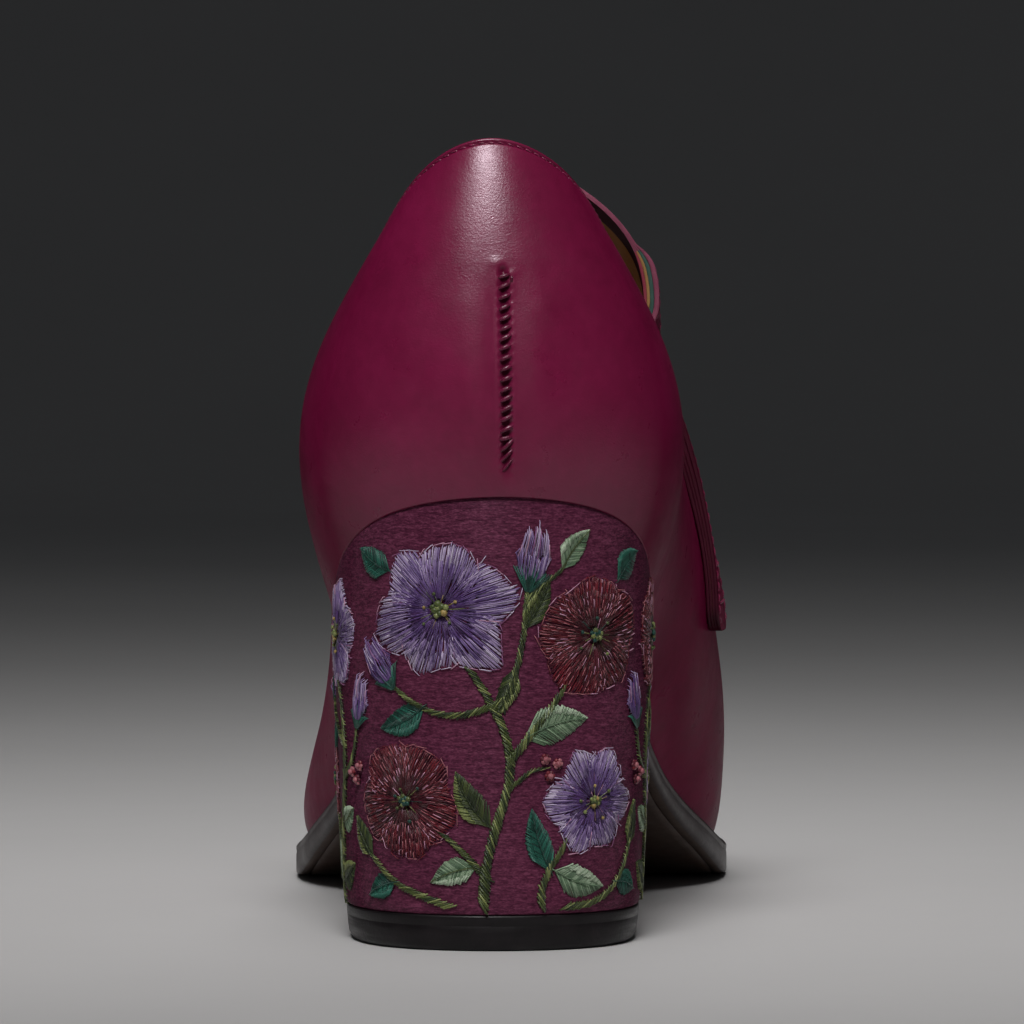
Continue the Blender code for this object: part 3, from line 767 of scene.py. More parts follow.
def edge_loop(rows, cols):
    """Vertex numbers of the topline: back, medial side, throat, lateral side."""
    up = [r for r in rows if r <= THROAT]
    return [cols[1, r][-1] for r in up] + [cols[-1, r][-1] for r in up[-2:0:-1]]


def edge_frame(verts, norms, loop):
    """At each point of the topline: outward normal, direction along it, and the way out past the edge."""
    p = verts[loop]
    t = unit(np.roll(p, -1, 0) - np.roll(p, 1, 0))
    n = norms[loop]
    n = unit(n - (n * t).sum(1, keepdims=True) * t)
    u = unit(np.cross(t, n))
    if u[0][2] < 0:
        u = -u
    k = int(np.argmax(p[:, 1]))
    for i in (k - 1, k, k + 1):
        n[i] = unit(n[k - 4] + n[k + 4])
        u[i] = unit(u[k - 4] + u[k + 4])
    return n, t, u


def seam_x(z):
    return 0.55 + 0.42 * (SEAM_TOP - z) / 35.0


def lowered(verts, tag, loop, u, cols, rows, by):
    """Pulls the rows under the edge down, to leave room for the turned edge."""
    out = verts.copy()
    place = {i: k for k, i in enumerate(loop)}
    for (side, r), col in cols.items():
        if r > THROAT or (side < 0 and r in (0.0, float(TIP))):
            continue
        way = u[place[col[-1]]]
        keep = by * (1.0 - smooth((r - 7.3) / 1.4))
        v = tag[col, 2]
        out[col] -= (keep * np.clip((v - 0.8) / 0.2, 0, 1) ** 2)[:, None] * way[None, :]
    return out


def make_upper():
    verts, faces, cols, tag = shell(ROWS, RISES)
    verts = rounded_toe(eased(verts, cols, ROWS, RISES), faces, tag)
    loop = edge_loop(ROWS, cols)
    norms = normals_of(verts, faces)
    n, t, u = edge_frame(verts, norms, loop)
    verts = lowered(verts, tag, loop, u, cols, ROWS, EDGE_RIM)
    norms = normals_of(verts, faces)
    n, t, u = edge_frame(verts, norms, loop)
    # distance of every point near the top from the edge
    edge = verts[loop]
    near = np.full(len(verts), 99.0)
    cand = np.where((tag[:, 2] > 0.80) & (tag[:, 1] < 9.6))[0]
    for k in range(0, len(cand), 4000):
        c = cand[k : k + 4000]
        d = np.linalg.norm(verts[c][:, None, :] - edge[None, :, :], axis=2)
        near[c] = d.min(1)
    x, y, z = verts.T
    back = (y < 30.0) & (np.abs(x) < 16.0)
    dx = x - seam_x(z)
    run = smooth((SEAM_TOP + 0.3 - z) / 0.9) * smooth((z - SEAM_END) / 5.0) * back
    wide = smooth((SEAM_TOP + 1.0 - z) / 7.0) * smooth((z - SEAM_END + 1.0) / 8.0) * back
    h = np.zeros(len(verts))
    h -= 0.50 * bell(dx, 3.4) * wide
    h += 0.20 * (bell(dx - 6.0, 3.0) + bell(dx + 6.0, 3.0)) * wide
    h -= 0.33 * np.exp(-((dx / 0.66) ** 4)) * run
    h += 0.11 * (bell(dx - 1.15, 0.42) + bell(dx + 1.15, 0.42)) * run
    # each stitch pulls the two lips in
    beat = 0.5 + 0.5 * np.cos(2 * math.pi * (z - SEAM_TOP + 0.9 + 0.35 * np.sign(dx)) / SEAM_PITCH)
    h -= 0.26 * bell(np.abs(dx) - 0.88, 0.34) * beat * run
    # pinch where the seam ends at the top
    h -= 0.55 * bell(dx + 0.15, 0.55) * bell(z - SEAM_TOP - 0.15, 0.50) * back
    h += 0.12 * bell(dx + 1.2, 1.3) * bell(z - SEAM_TOP - 1.30, 0.85) * back
    h += 0.06 * bell(dx - 1.8, 0.9) * bell(z - SEAM_TOP + 0.2, 0.60) * back
    h += 0.014 * bell(dx - 1.2, 3.6) * bell(z - SEAM_TOP - 1.9, 1.10) * back
    # stitched groove under the collar edge, and the soft lip above it
    h -= 0.22 * bell(near - EDGE_ROW, 0.26)
    h += 0.05 * bell(near, 0.22)
    h -= 0.04 * bell(near - 2.2, 1.0)
    # soft break lines of the vamp where the foot bends
    vamp = smooth((tag[:, 1] - 8.9) / 0.8) * smooth((12.4 - tag[:, 1]) / 1.2) * smooth((tag[:, 2] - 0.35) / 0.3)
    for y0, bow, deep, w in ((160.5, 4.0, 0.16, 1.5), (167.0, 5.0, 0.20, 1.8), (174.0, 4.5, 0.13, 1.6)):
        h -= deep * bell(y - y0 - bow * ((x - 9.5) / 26.0) ** 2, w) * vamp * smooth((24.0 - np.abs(x - 9.5)) / 12.0)
    calm = smooth(np.linalg.norm(verts - verts[cols[1, float(THROAT)][-1]], axis=1) / 3.0)
    verts = verts + (h * calm)[:, None] * norms
    crease = bell(dx, 7.5) * bell(z - SEAM_TOP - 3.0, 5.0) * back
    # painted shade: the colour darkens down in the seam, in its end and in the stitched groove, where shade falls
    seam_shade_paint = 0.85 * np.exp(-((dx / 0.72) ** 4)) * run
    seam_shade_paint = np.maximum(seam_shade_paint, 0.9 * bell(dx + 0.15, 0.42) * bell(z - SEAM_TOP - 0.1, 0.42) * back)
    seam_shade_paint = np.maximum(seam_shade_paint, 0.75 * bell(near - EDGE_ROW, 0.24) * calm)
    # turned edge, and the strip of it that shows inside
    ring = loop
    base = len(verts)
    extra, index = [], [0] * len(faces)
    mid = verts[loop] - 0.5 * WALL * n
    arcs = [math.pi * k / 7 for k in range(1, 8)]
    for a in arcs:
        extra.append(mid + 0.5 * WALL * math.cos(a) * n + EDGE_RIM * math.sin(a) ** 0.8 * u)
    extra.append(verts[loop] - 1.02 * WALL * n - 1.3 * u)
    extra.append(verts[loop] - 0.80 * WALL * n - 1.5 * u)
    m = len(loop)
    prev = list(loop)
    for k, row in enumerate(extra):
        cur = [base + k * m + i for i in range(m)]
        for i in range(m):
            j = (i + 1) % m
            faces.append((prev[i], prev[j], cur[j], cur[i]))
            index.append(0)
        prev = cur
    verts = np.vstack([verts] + extra)
    # lasting margin: the foot of the wall turns under the insole
    foot = [cols[1, r][0] for r in ROWS] + [cols[-1, r][0] for r in ROWS[-2:0:-1]]
    inward = []
    for i in foot:
        side, r, _ = tag[i]
        inward.append((*(-feather(side, r)[1]), 0.0))
    inward = np.array(inward)
    fp = verts[foot]
    down = np.array((0.0, 0.0, -1.0))
    under = [fp + 0.18 * down + 0.05 * inward, fp + 0.31 * down + 0.25 * inward, fp + 0.32 * down + 3.5 * inward]
    base = len(verts)
    m = len(foot)
    prev = list(foot)
    for k, row in enumerate(under):
        cur = [base + k * m + i for i in range(m)]
        for i in range(m):
            j = (i + 1) % m
            faces.append((prev[j], prev[i], cur[i], cur[j]))
            index.append(0)
        prev = cur
    verts = np.vstack([verts] + under)
    ob = make("upper_leather", verts, faces, [leather_upper], index, "upper")
    for name, values in (("crease", crease), ("sewn", seam_shade_paint)):
        attr = ob.data.attributes.new(name, "FLOAT", "POINT")
        full = np.zeros(len(verts), np.float32)
        full[: len(values)] = values
        attr.data.foreach_set("value", full)
    tree = BVHTree.FromPolygons([Vector(v) for v in verts], faces)
    return tree, edge, n, t, u


def make_lining():
    rows = [float(r) for r in sorted(set(np.round(np.arange(0.0, 9.0, 0.2), 4)) | {9.0} | set(np.round(np.linspace(9.0, 14.0, 28), 4)))]
    rises = np.linspace(0.0, 1.0, 42)
    verts, faces, cols, tag = shell(rows, rises)
    loop = edge_loop(rows, cols)
    norms = normals_of(verts, faces)
    _, _, u = edge_frame(verts, norms, loop)
    verts = lowered(verts, tag, loop, u, cols, rows, EDGE_RIM)
    norms = normals_of(verts, faces)
    inner = verts - 0.985 * WALL * norms
    make("upper_lining", inner, [f[::-1] for f in faces], [lining], None)


UPPER, EDGE, EDGE_N, EDGE_T, EDGE_U = make_upper()
make_lining()


def snap(p, reach=6.0):
    """Nearest point of the leather's face and its normal."""
    hit = UPPER.find_nearest(Vector(p), reach)
    return np.array(hit[0]), np.array(hit[1])


def sewn(bundle, pts, dirs, length, radius, mat, find, sink=0.20, proud=0.16, slant=0.0):
    """A row of stitches: each one lies on the face and dips into it at both ends."""
    for p, d in zip(pts, dirs):
        q, n = find(p)
        d = unit(d - n * (d @ n))
        b = np.cross(n, d)
        d = unit(d + slant * b)
        wob = 1.0 + rng.uniform(-0.05, 0.05)
        path, ups = [], []
        for f, h in ((-0.5, -sink), (-0.36, 0.35 * proud), (-0.15, proud), (0.15, proud), (0.36, 0.35 * proud), (0.5, -sink)):
            s, m = find(q + d * f * length * wob)
            path.append(s + m * h)
            ups.append(n)
        bundle.tube(path, ups, [0.6 * radius, radius, radius, radius, radius, 0.6 * radius], mat)


def seam_stitch(bundle, a, b, r, mat):
    """A stitch across the half seam from a to b, in (x, z) on the back of the counter."""
    p, np_ = snap((a[0], -2.0, a[1]), 14.0)
    q, nq = snap((b[0], -2.0, b[1]), 14.0)
    up = unit(np_ + nq)
    path = [p + (q - p) * f + up * hgt for f, hgt in ((0.0, -0.30), (0.14, -0.02), (0.36, 0.10), (0.64, 0.10), (0.86, -0.02), (1.0, -0.30))]
    bundle.tube(path, [up] * 6, [0.5 * r, 0.86 * r, 1.04 * r, 1.04 * r, 0.86 * r, 0.5 * r], mat, 8, 0.72)


def make_upper_stitches():
    sew = Bundle()
    pts, dirs = even(EDGE - EDGE_ROW * EDGE_U - 0.1 * EDGE_N, EDGE_PITCH, closed=True)
    sewn(sew, pts, dirs, 1.22, 0.18, 0, snap, sink=0.20, proud=0.10, slant=-0.28)
    # half seam at the back: slanting stitches that draw the two sides together
    z = SEAM_TOP - 2.1
    while z > SEAM_END + 1.2:
        xs = seam_x(z)
        fade = float(smooth((z - SEAM_END - 0.6) / 7.0))
        w = 0.16 + 0.38 * fade
        jx, jz, js = rng.uniform(-0.06, 0.06), rng.uniform(-0.08, 0.08), rng.uniform(0.46, 0.72) * (1.0 if rng.random() < 0.88 else 0.75)
        seam_stitch(sew, (xs - w + jx, z - js + jz), (xs + w + jx, z + js + jz), 0.15 + 0.20 * fade, 2)
        z -= SEAM_PITCH
    # the loose bight beside the tack that closes the top
    zz = SEAM_TOP - 0.55
    seam_stitch(sew, (seam_x(zz) - 0.82, zz + 0.06), (seam_x(zz) + 0.72, zz - 0.10), 0.30, 2)
    seam_stitch(sew, (seam_x(zz) + 0.66, zz - 0.34), (seam_x(zz) + 1.55, zz + 0.02), 0.22, 2)
    sew.object("upper_stitches", [stitch_burgundy, stitch_dark, stitch_seam], "upper")


make_upper_stitches()


# ================================================================ insole, outsole
def plan_ring(rows_med, rows_lat, out, height):
    ring = []
    for side, rows in ((1, rows_med), (-1, rows_lat[::-1])):
        for r in rows:
            p, n = feather(side, r)
            o = out(r) if callable(out) else out
            q = p + o * n
            ring.append((q[0], q[1], height(q[1])))
    return ring


def ring_faces(count, n, low=True, high=True):
    faces = []
    for k in range(count - 1):
        a, b = k * n, (k + 1) * n
        for i in range(n):
            j = (i + 1) % n
            faces.append((a + i, a + j, b + j, b + i))
    for base, wanted, turn in ((0, low, True), ((count - 1) * n, high, False)):
        if not wanted:
            continue
        half = n // 2
        for i in range(half):
            f = [base + i, base + i + 1, base + (n - i - 1) % n, base + (n - i) % n]
            f = list(dict.fromkeys(f))
            if len(f) > 2:
                faces.append(tuple(f[::-1] if turn else f))
    return faces


def make_insole():
    n = 96
    rows = [TIP * i / n for i in range(n + 1)]
    rings = []
    for out, lift in ((-2.6, 0.05), (-2.1, 0.3), (-1.75, 1.4), (-1.8, 2.3), (-2.1, 2.75), (-2.7, 2.95), (-4.2, 2.9), (-7.5, INSOLE_THICK)):
        rings.append(plan_ring(rows, rows[1:-1], out, lambda y, k=lift: seat_z(y) + k))
    faces = ring_faces(len(rings), len(rings[0]))
    make("insole_sock", np.vstack(rings), faces, [sock], None, "insole", 60)


def sole_bottom(y):
    return max(0.0, seat_z(y) - GAP - along(SOLE_THICK, y))


def make_outsole():
    n = 110
    start = {s: row_at(s, BREAST_Y + GAP + 0.3) for s in (1, -1)}
    rows = {s: [start[s] + (TIP - start[s]) * i / n for i in range(n + 1)] for s in (1, -1)}
    top = lambda d: (lambda y: seat_z(y) - GAP - d)
    low = lambda d: (lambda y: sole_bottom(y) + d)
    levels = (
        (-3.5, top(0.0)), (-0.55, top(0.0)), (-0.2, top(0.10)), (-0.02, top(0.34)), (0.0, top(0.7)),
        (-0.10, top(1.15)), (-0.10, top(1.35)), (0.0, top(1.75)),
        (0.0, low(1.1)), (-0.08, low(0.6)), (-0.32, low(0.22)), (-0.8, low(0.03)), (-1.3, low(0.0)), (-2.2, low(0.0)), (-2.6, low(0.0)),
        (-3.0, low(0.0)), (-4.2, low(0.0)),
    )
    rings = []
    for inset, height in levels:
        ring = plan_ring(rows[1], rows[-1][:-1], lambda r, k=inset: along(SOLE_EDGE, r) + k, height)
        a, b = ring[0], ring[-1]
        ring.insert(0, tuple(0.5 * (p + q) for p, q in zip(a, b)))
        rings.append(ring)
    m = len(rings[0])
    faces = ring_faces(len(rings), m)
    side = 11 * m
    index = [0 if i < side else 1 for i in range(len(faces))]
    cap = (len(rings) - 1) * m
    for i in range(cap, len(faces)):
        index[i] = 0 if i < cap + m // 2 else 1
    # channel line round the tread, pressed into the leather
    pts = np.array(rings)
    pts[14, :, 2] += np.where(pts[14, :, 2] < 900, 0.35, 0)
    make("outsole_leather", pts.reshape(-1, 3), faces, [sole_edge, sole_under], index, "outsole", 50)


make_insole()
make_outsole()

# ================================================================ heel
ZS = np.linspace(0.0, 80.0, 321)
HEEL_W, HEEL_B, HEEL_F = (np.array([along(HEEL, z, c) for z in ZS]) for c in (1, 2, 3))
OUTLINE = {}
for _side in (1, -1):
    _last = row_at(_side, BREAST_Y)
    _p = np.array([feather(_side, _last * i / 240)[0] for i in range(241)])
    OUTLINE[_side] = (lengths(_p), _p)
REACH = {s: OUTLINE[s][0][-1] for s in (1, -1)}


def placed(x, y, z):
    """Point of the heel's wall at height z under a point of its outline."""
    w, b, f = (np.interp(z, ZS, t) for t in (HEEL_W, HEEL_B, HEEL_F))
    return np.stack([x * w / 53.6, b + (y - 2.5) * (f - b) / (BREAST_Y - 2.5), z], -1)


def outline(s):
    s = np.asarray(s, float)
    out = []
    for c in (0, 1):
        med = np.interp(s, OUTLINE[1][0], OUTLINE[1][1][:, c])
        lat = np.interp(-s, OUTLINE[-1][0], OUTLINE[-1][1][:, c])
        out.append(np.where(s >= 0, med, lat))
    return out


def heel_at(s, z):
    """Point of the heel's face: s is the way round from the middle of the back (+ medial), z the height."""
    s, z = np.broadcast_arrays(np.asarray(s, float), np.asarray(z, float))
    x, y = outline(s)
    return placed(x, y, z)


def heel_frame(s, z):
    e = 0.4
    p = heel_at(s, z)
    a = heel_at(np.asarray(s) + e, z) - heel_at(np.asarray(s) - e, z)
    c = heel_at(s, np.asarray(z) + e) - heel_at(s, np.asarray(z) - e)
    return p, unit(np.cross(a, c))


def heel_top(x, y, lift):
    z = seat_z(y) - lift
    for _ in range(6):
        z = seat_z(float(placed(x, y, z)[1])) - lift
    return z


def heel_plan():
    """Outline columns round the heel, breast corners eased."""
    pts = []
    for s in np.linspace(0.0, REACH[1] - 0.9, 74):
        pts.append(tuple(float(v) for v in outline(s)))
    a, b = OUTLINE[1][1][-1][0] - 0.9, OUTLINE[-1][1][-1][0] + 0.9
    for i in range(15):
        pts.append((a + (b - a) * i / 14, BREAST_Y))
    for s in np.linspace(-REACH[-1] + 0.9, 0.0, 74)[:-1]:
        pts.append(tuple(float(v) for v in outline(s)))
    return pts


def make_heel():
    plan = heel_plan()
    steps = 46
    rings = [[] for _ in range(steps + 3)]
    for x, y in plan:
        top = heel_top(x, y, 0.06)
        d = unit(np.array((x, y - 27.0)))
        for k in range(steps + 1):
            h = top + (HEEL_BASE + 0.42 - top) * k / steps
            p = placed(x, y, h)
            if k == 0:
                p = p - 0.15 * np.array((d[0], d[1], 0.0))
            rings[k].append(p)
        p = placed(x, y, HEEL_BASE + 0.16)
        rings[steps + 1].append(p - 0.12 * np.array((d[0], d[1], 0.0)))
        rings[steps + 2].append(p - np.array((0.6 * d[0], 0.6 * d[1], 0.1)))
    n = len(plan)
    faces = ring_faces(len(rings), n)
    make("heel_satin", np.vstack(rings), faces, [satin_plum], None, "heel_block", 60)
    levels = ((6.0, 0.55), (6.0, 0.28), (5.86, 0.08), (5.6, 0.0), (4.4, 0.0), (4.28, 0.07), (4.16, 0.07), (4.04, 0.0), (2.2, 0.0), (1.2, 0.0), (0.7, 0.02), (0.32, 0.10), (0.1, 0.28), (0.0, 0.6), (0.0, 2.5))
    rings = []
    for h, inset in levels:
        ring = []
        for x, y in plan:
            d = unit(np.array((x, y - 27.0)))
            ring.append(placed(x, y, h) - inset * np.array((d[0], d[1], 0.0)))
        rings.append(ring)
    make("heel_lift", np.vstack(rings), ring_faces(len(rings), n), [lift_black], None, "heel_top_piece", 60)


make_heel()

# ================================================================ embroidery (a plain floral spray of the maker's own)
TONES = {
    "lilac_white": ((0.40, 0.32, 0.47), (0.60, 0.52, 0.66)),
    "lilac_pale": ((0.255, 0.185, 0.335), (0.39, 0.30, 0.47)),
    "lilac": ((0.140, 0.086, 0.225), (0.240, 0.155, 0.345)),
    "purple": ((0.064, 0.030, 0.125), (0.122, 0.060, 0.215)),
    "plum": ((0.034, 0.011, 0.060), (0.072, 0.024, 0.110)),
    "mauve": ((0.190, 0.058, 0.150), (0.310, 0.110, 0.245)),
    "blush": ((0.400, 0.180, 0.290), (0.600, 0.340, 0.450)),
    "teal": ((0.0030, 0.026, 0.019), (0.0080, 0.060, 0.044)),
    "teal_light": ((0.0080, 0.074, 0.053), (0.022, 0.145, 0.102)),
    "olive": ((0.036, 0.052, 0.012), (0.080, 0.105, 0.027)),
    "olive_light": ((0.120, 0.145, 0.040), (0.235, 0.265, 0.095)),
    "olive_dark": ((0.012, 0.022, 0.006), (0.030, 0.046, 0.013)),
    "sage_pale": ((0.330, 0.420, 0.295), (0.490, 0.580, 0.440)),
    "sage": ((0.190, 0.275, 0.170), (0.310, 0.410, 0.275)),
    "sage_dark": ((0.070, 0.130, 0.072), (0.135, 0.210, 0.120)),
    "red": ((0.098, 0.0050, 0.0115), (0.180, 0.0100, 0.021)),
    "red_dark": ((0.026, 0.0024, 0.005), (0.060, 0.0045, 0.009)),
    "wine": ((0.052, 0.0032, 0.0105), (0.100, 0.0064, 0.0195)),
    "rose": ((0.240, 0.062, 0.080), (0.390, 0.140, 0.160)),
    "gold": ((0.250, 0.175, 0.050), (0.400, 0.290, 0.105)),
}
TONE = {k: i for i, k in enumerate(TONES)}
THREADS = [thread("thread_" + k, a, b) for k, (a, b) in TONES.items()]


FINE = 0.62  # thread of one or two strands


def stitch(bundle, a, b, tone, r=0.19, lift=0.20, base=0.10, bow=0.0, sides=4):
    """One straight stitch over the satin from a to b, in (s, z)."""
    a, b = np.asarray(a, float), np.asarray(b, float)
    d = b - a
    size = float(np.hypot(*d))
    if size < 0.25:
        return
    k = max(4, int(size / 2.6) + 3)
    t = np.concatenate([[0.0], np.linspace(0.10, 0.90, k - 2), [1.0]])
    side = np.array((-d[1], d[0])) / size
    uv = a + d * t[:, None] + side * (bow * 4 * t * (1 - t))[:, None]
    prof = 1.0 - np.abs(2 * t - 1) ** 8
    rise = -0.15 + prof * (0.15 + base + lift * np.sin(math.pi * t) ** 0.7)
    p, n = heel_frame(uv[:, 0], uv[:, 1])
    bundle.tube(p + n * rise[:, None], n, FINE * r * (0.55 + 0.45 * prof), TONE[tone], sides)


def pick(*tones):
    return rng.choice(tones)


def knot(bundle, c, tone, r=0.62, high=0.45):
    p, n = heel_frame(c[0], c[1])
    bundle.ball(p + n * high, n, r, TONE[tone])


def near_to(v, by):
    return v + rng.uniform(-by, by)


def petal(bundle, c, ang, reach, wide, shade, rim, near=0.13, point=0.0, rise=0.45, base=0.10, accent=None, pitch=0.196):
    """A petal in long and short stitch: three bands of shade from tip to root, and broken threads along its rim."""
    tips, mids, roots = shade
    c = np.asarray(c, float)
    ax = np.array((math.cos(ang), math.sin(ang)))
    ay = np.array((-ax[1], ax[0]))
    n = max(6, int(wide / pitch))
    lean, wave = rng.uniform(-0.10, 0.10), rng.uniform(0.0, 6.28)
    edge = []
    for i in range(n + 1):
        q = -0.97 + 1.94 * i / n
        hi = 0.58 + (0.42 - point) * (1 - abs(q) ** 2.3) ** 0.75 + point * (1 - abs(q)) ** 1.2
        hi += 0.030 * math.sin(4.5 * q + wave)
        root = c + reach * near * ax + 0.11 * wide * q * ay
        rimmed = c + reach * hi * ax + 0.5 * wide * (q + lean * (1 - q * q)) * ay
        tip = c + reach * (hi + rng.uniform(-0.055, 0.025)) * ax + 0.5 * wide * (q + lean * (1 - q * q) + rng.uniform(-0.03, 0.03)) * ay
        edge.append(rimmed)
        dome = rise * (1 - q * q)
        bow = rng.uniform(-0.10, 0.10)
        on = lambda f: root + (tip - root) * f + (0.10 * wide * q * math.sin(math.pi * f)) * ay
        stitch(bundle, on(1.0), on(near_to(0.58, 0.11)), pick(*tips), near_to(0.175, 0.03), 0.12 + 0.4 * dome, base + 0.2 * dome + rng.uniform(0.0, 0.10), bow)
        if i % 6 != 2:
            stitch(bundle, on(near_to(0.78, 0.11)), on(near_to(0.32, 0.10)), pick(*mids), near_to(0.175, 0.03), 0.12 + 0.4 * dome, base + 0.07 + 0.3 * dome + rng.uniform(0.0, 0.10), bow)
        if i % 2:
            stitch(bundle, on(near_to(0.48, 0.12)), on(0.0), pick(*roots), near_to(0.165, 0.03), 0.12 + 0.4 * dome, base + 0.12 + 0.3 * dome + rng.uniform(0.0, 0.10), bow)
        if accent and i % 4 == 1:
            f = rng.uniform(0.22, 0.40)
            while f < 0.92:
                g = f + rng.uniform(0.10, 0.22)
                stitch(bundle, on(f), on(min(0.98, g)), pick(*accent), near_to(0.125, 0.02), 0.10 + 0.4 * dome, base + 0.27 + 0.35 * dome)
                f = g + rng.uniform(0.03, 0.12)
    for side in (-1, 1):
        foot = c + reach * 0.34 * ax + side * 0.19 * wide * ay
        line = [foot, edge[0 if side < 0 else -1]]
        line += edge[1 : n // 2 + 1] if side < 0 else edge[-2 : n // 2 - 1 : -1]
        pts, dirs = even(line, 1.7)
        for p, d in zip(pts[:-1], dirs[:-1]):
            if rng.random() < 0.22:
                continue
            j = np.array((rng.uniform(-0.12, 0.12), rng.uniform(-0.12, 0.12)))
            stitch(bundle, p - 0.25 * d + j, p + near_to(1.75, 0.35) * d - j, pick(*rim), near_to(0.135, 0.025), 0.08, base + 0.20 + rng.uniform(0.0, 0.08))


LILAC = (("lilac_white", "lilac_pale", "lilac_pale", "lilac"), ("lilac_pale", "lilac", "lilac", "purple"), ("purple", "purple", "plum"))
VIOLET = (("lilac_pale", "lilac", "lilac", "purple"), ("lilac", "purple", "purple"), ("purple", "plum", "plum"))
LILAC_RIM = ("blush", "lilac_white", "lilac_white", "mauve")
CRIMSON = (("red", "red", "wine", "wine"), ("red", "wine", "red_dark", "wine"), ("red_dark", "red_dark", "wine"))
CRIMSON_RIM = ("rose", "rose", "red", "blush")


def spread(c, r, a):
    return np.asarray(c, float) + r * np.array((math.cos(a), math.sin(a)))


def blossom(bundle, c, r, shade=LILAC, rim=LILAC_RIM, count=6, turn=0.0, wide=0.84, point=0.16, tilt=0.10, accent=None, eye=("gold", "olive_light", "olive"), heart="plum"):
    """Open flower: overlapping petals, a dark heart of short threads, thin stamens and a cluster of knots."""
    order = list(range(0, count, 2)) + list(range(1, count, 2))
    for k, i in enumerate(order):
        a = turn + 2 * math.pi * i / count + rng.uniform(-0.09, 0.09)
        far = r * (1 - tilt * math.sin(a) ** 2) * rng.uniform(0.92, 1.06)
        petal(bundle, c, a, far, r * wide * rng.uniform(0.92, 1.08), shade, rim, point=point, base=0.08 + 0.12 * (k >= (count + 1) // 2), accent=accent)
    for i in range(int(4.2 * r)):
        a = rng.uniform(0.0, 6.283)
        stitch(bundle, spread(c, 0.04 * r, a), spread(c, r * rng.uniform(0.20, 0.34), a), pick(heart, heart, shade[2][0]), 0.14, 0.15, 0.45)
    for i in range(11):
        a = 2 * math.pi * i / 11 + rng.uniform(-0.25, 0.25)
        f = rng.uniform(0.18, 0.36)
        stitch(bundle, spread(c, 0.06 * r, a), spread(c, f * r, a), pick(*eye, "blush"), 0.10, 0.15, 0.62)
        if i % 2:
            knot(bundle, spread(c, f * r, a), pick(*eye), near_to(0.32, 0.06), 0.72)
    for i in range(10):
        knot(bundle, spread(c, 0.030 * r * math.sqrt(i), 2.4 * i), pick(*eye), near_to(0.042, 0.008) * r, 0.80)


def poppy(bundle, c, r, turn=0.0):
    """Broad dark red flower with rows of fine rose threads over its petals."""
    blossom(bundle, c, r, CRIMSON, CRIMSON_RIM, 5, turn, 1.12, 0.04, 0.10, ("rose", "rose", "blush", "red"), ("olive", "olive_light", "teal"), "red_dark")


def leaf(bundle, base, tip, wide, tones, bend=0.0, vein=None):
    """Leaf in slanting satin stitch, its two halves of different shade."""
    pale, light, dark = tones
    base, tip = np.asarray(base, float), np.asarray(tip, float)
    d = tip - base
    size = float(np.hypot(*d))
    perp = np.array((-d[1], d[0])) / size
    mid = lambda f: base + d * f + perp * bend * 4 * f * (1 - f)
    half = lambda f: 0.5 * wide * math.sin(math.pi * f**0.82) ** 0.85 if 0 < f < 1 else 0.0
    n = max(8, int(size / 0.255))
    for i in range(n):
        f = i / n
        g = min(1.0, f + 0.22 * (1 - f) + 0.06)
        for side in (1, -1):
            edge = mid(g) + side * half(g) * perp * rng.uniform(0.90, 1.06)
            root = mid(f) - side * 0.12 * perp
            cut = root + (edge - root) * rng.uniform(0.45, 0.65)
            lift = 0.22 + 0.30 * half(g) / wide
            if side > 0:
                stitch(bundle, root, edge, pick(light, light, dark), near_to(0.19, 0.03), lift, near_to(0.12, 0.04), rng.uniform(-0.08, 0.08))
                stitch(bundle, cut, edge, pick(pale, pale, light), near_to(0.17, 0.03), 0.15, 0.28 + 0.3 * half(g) / wide)
            else:
                stitch(bundle, root, edge, pick(dark, dark, light), near_to(0.19, 0.03), lift, near_to(0.12, 0.04), rng.uniform(-0.08, 0.08))
    if vein:
        pts, dirs = even([mid(0.02 + 0.88 * k / 12) for k in range(13)], 1.2)
        for p, t in zip(pts, dirs):
            stitch(bundle, p - 0.9 * t, p + 0.9 * t, vein, 0.16, 0.15, 0.50)


SAGE = ("sage_pale", "sage", "sage_dark")
FRESH = ("teal_light", "teal_light", "teal")
MOSS = ("olive_light", "olive", "olive_dark")


def stem(bundle, pts, wide, tones=("olive", "olive_light", "olive_dark"), taper=0.65, base=0.24):
    """Rope of slanting stitches that follows a curve through pts."""
    c = Curve(pts, False)
    line = [c.at(k / 24) for k in range((len(pts) - 1) * 24 + 1)]
    p, d = even(line, 0.62)
    for i, (q, t) in enumerate(zip(p, d)):
        w = wide * (1.0 - (1 - taper) * i / max(1, len(p) - 1))
        side = np.array((-t[1], t[0]))
        j = rng.uniform(-0.07, 0.07) * w
        long = near_to(1.12, 0.12)
        a = q - long * t - (0.36 * w + j) * side
        b = q + long * t + (0.36 * w + j) * side
        stitch(bundle, a, b, pick(tones[0], tones[0], tones[1], tones[2]), near_to(0.115 * w + 0.06, 0.03), 0.30 + 0.10 * w, base + rng.uniform(-0.04, 0.08))


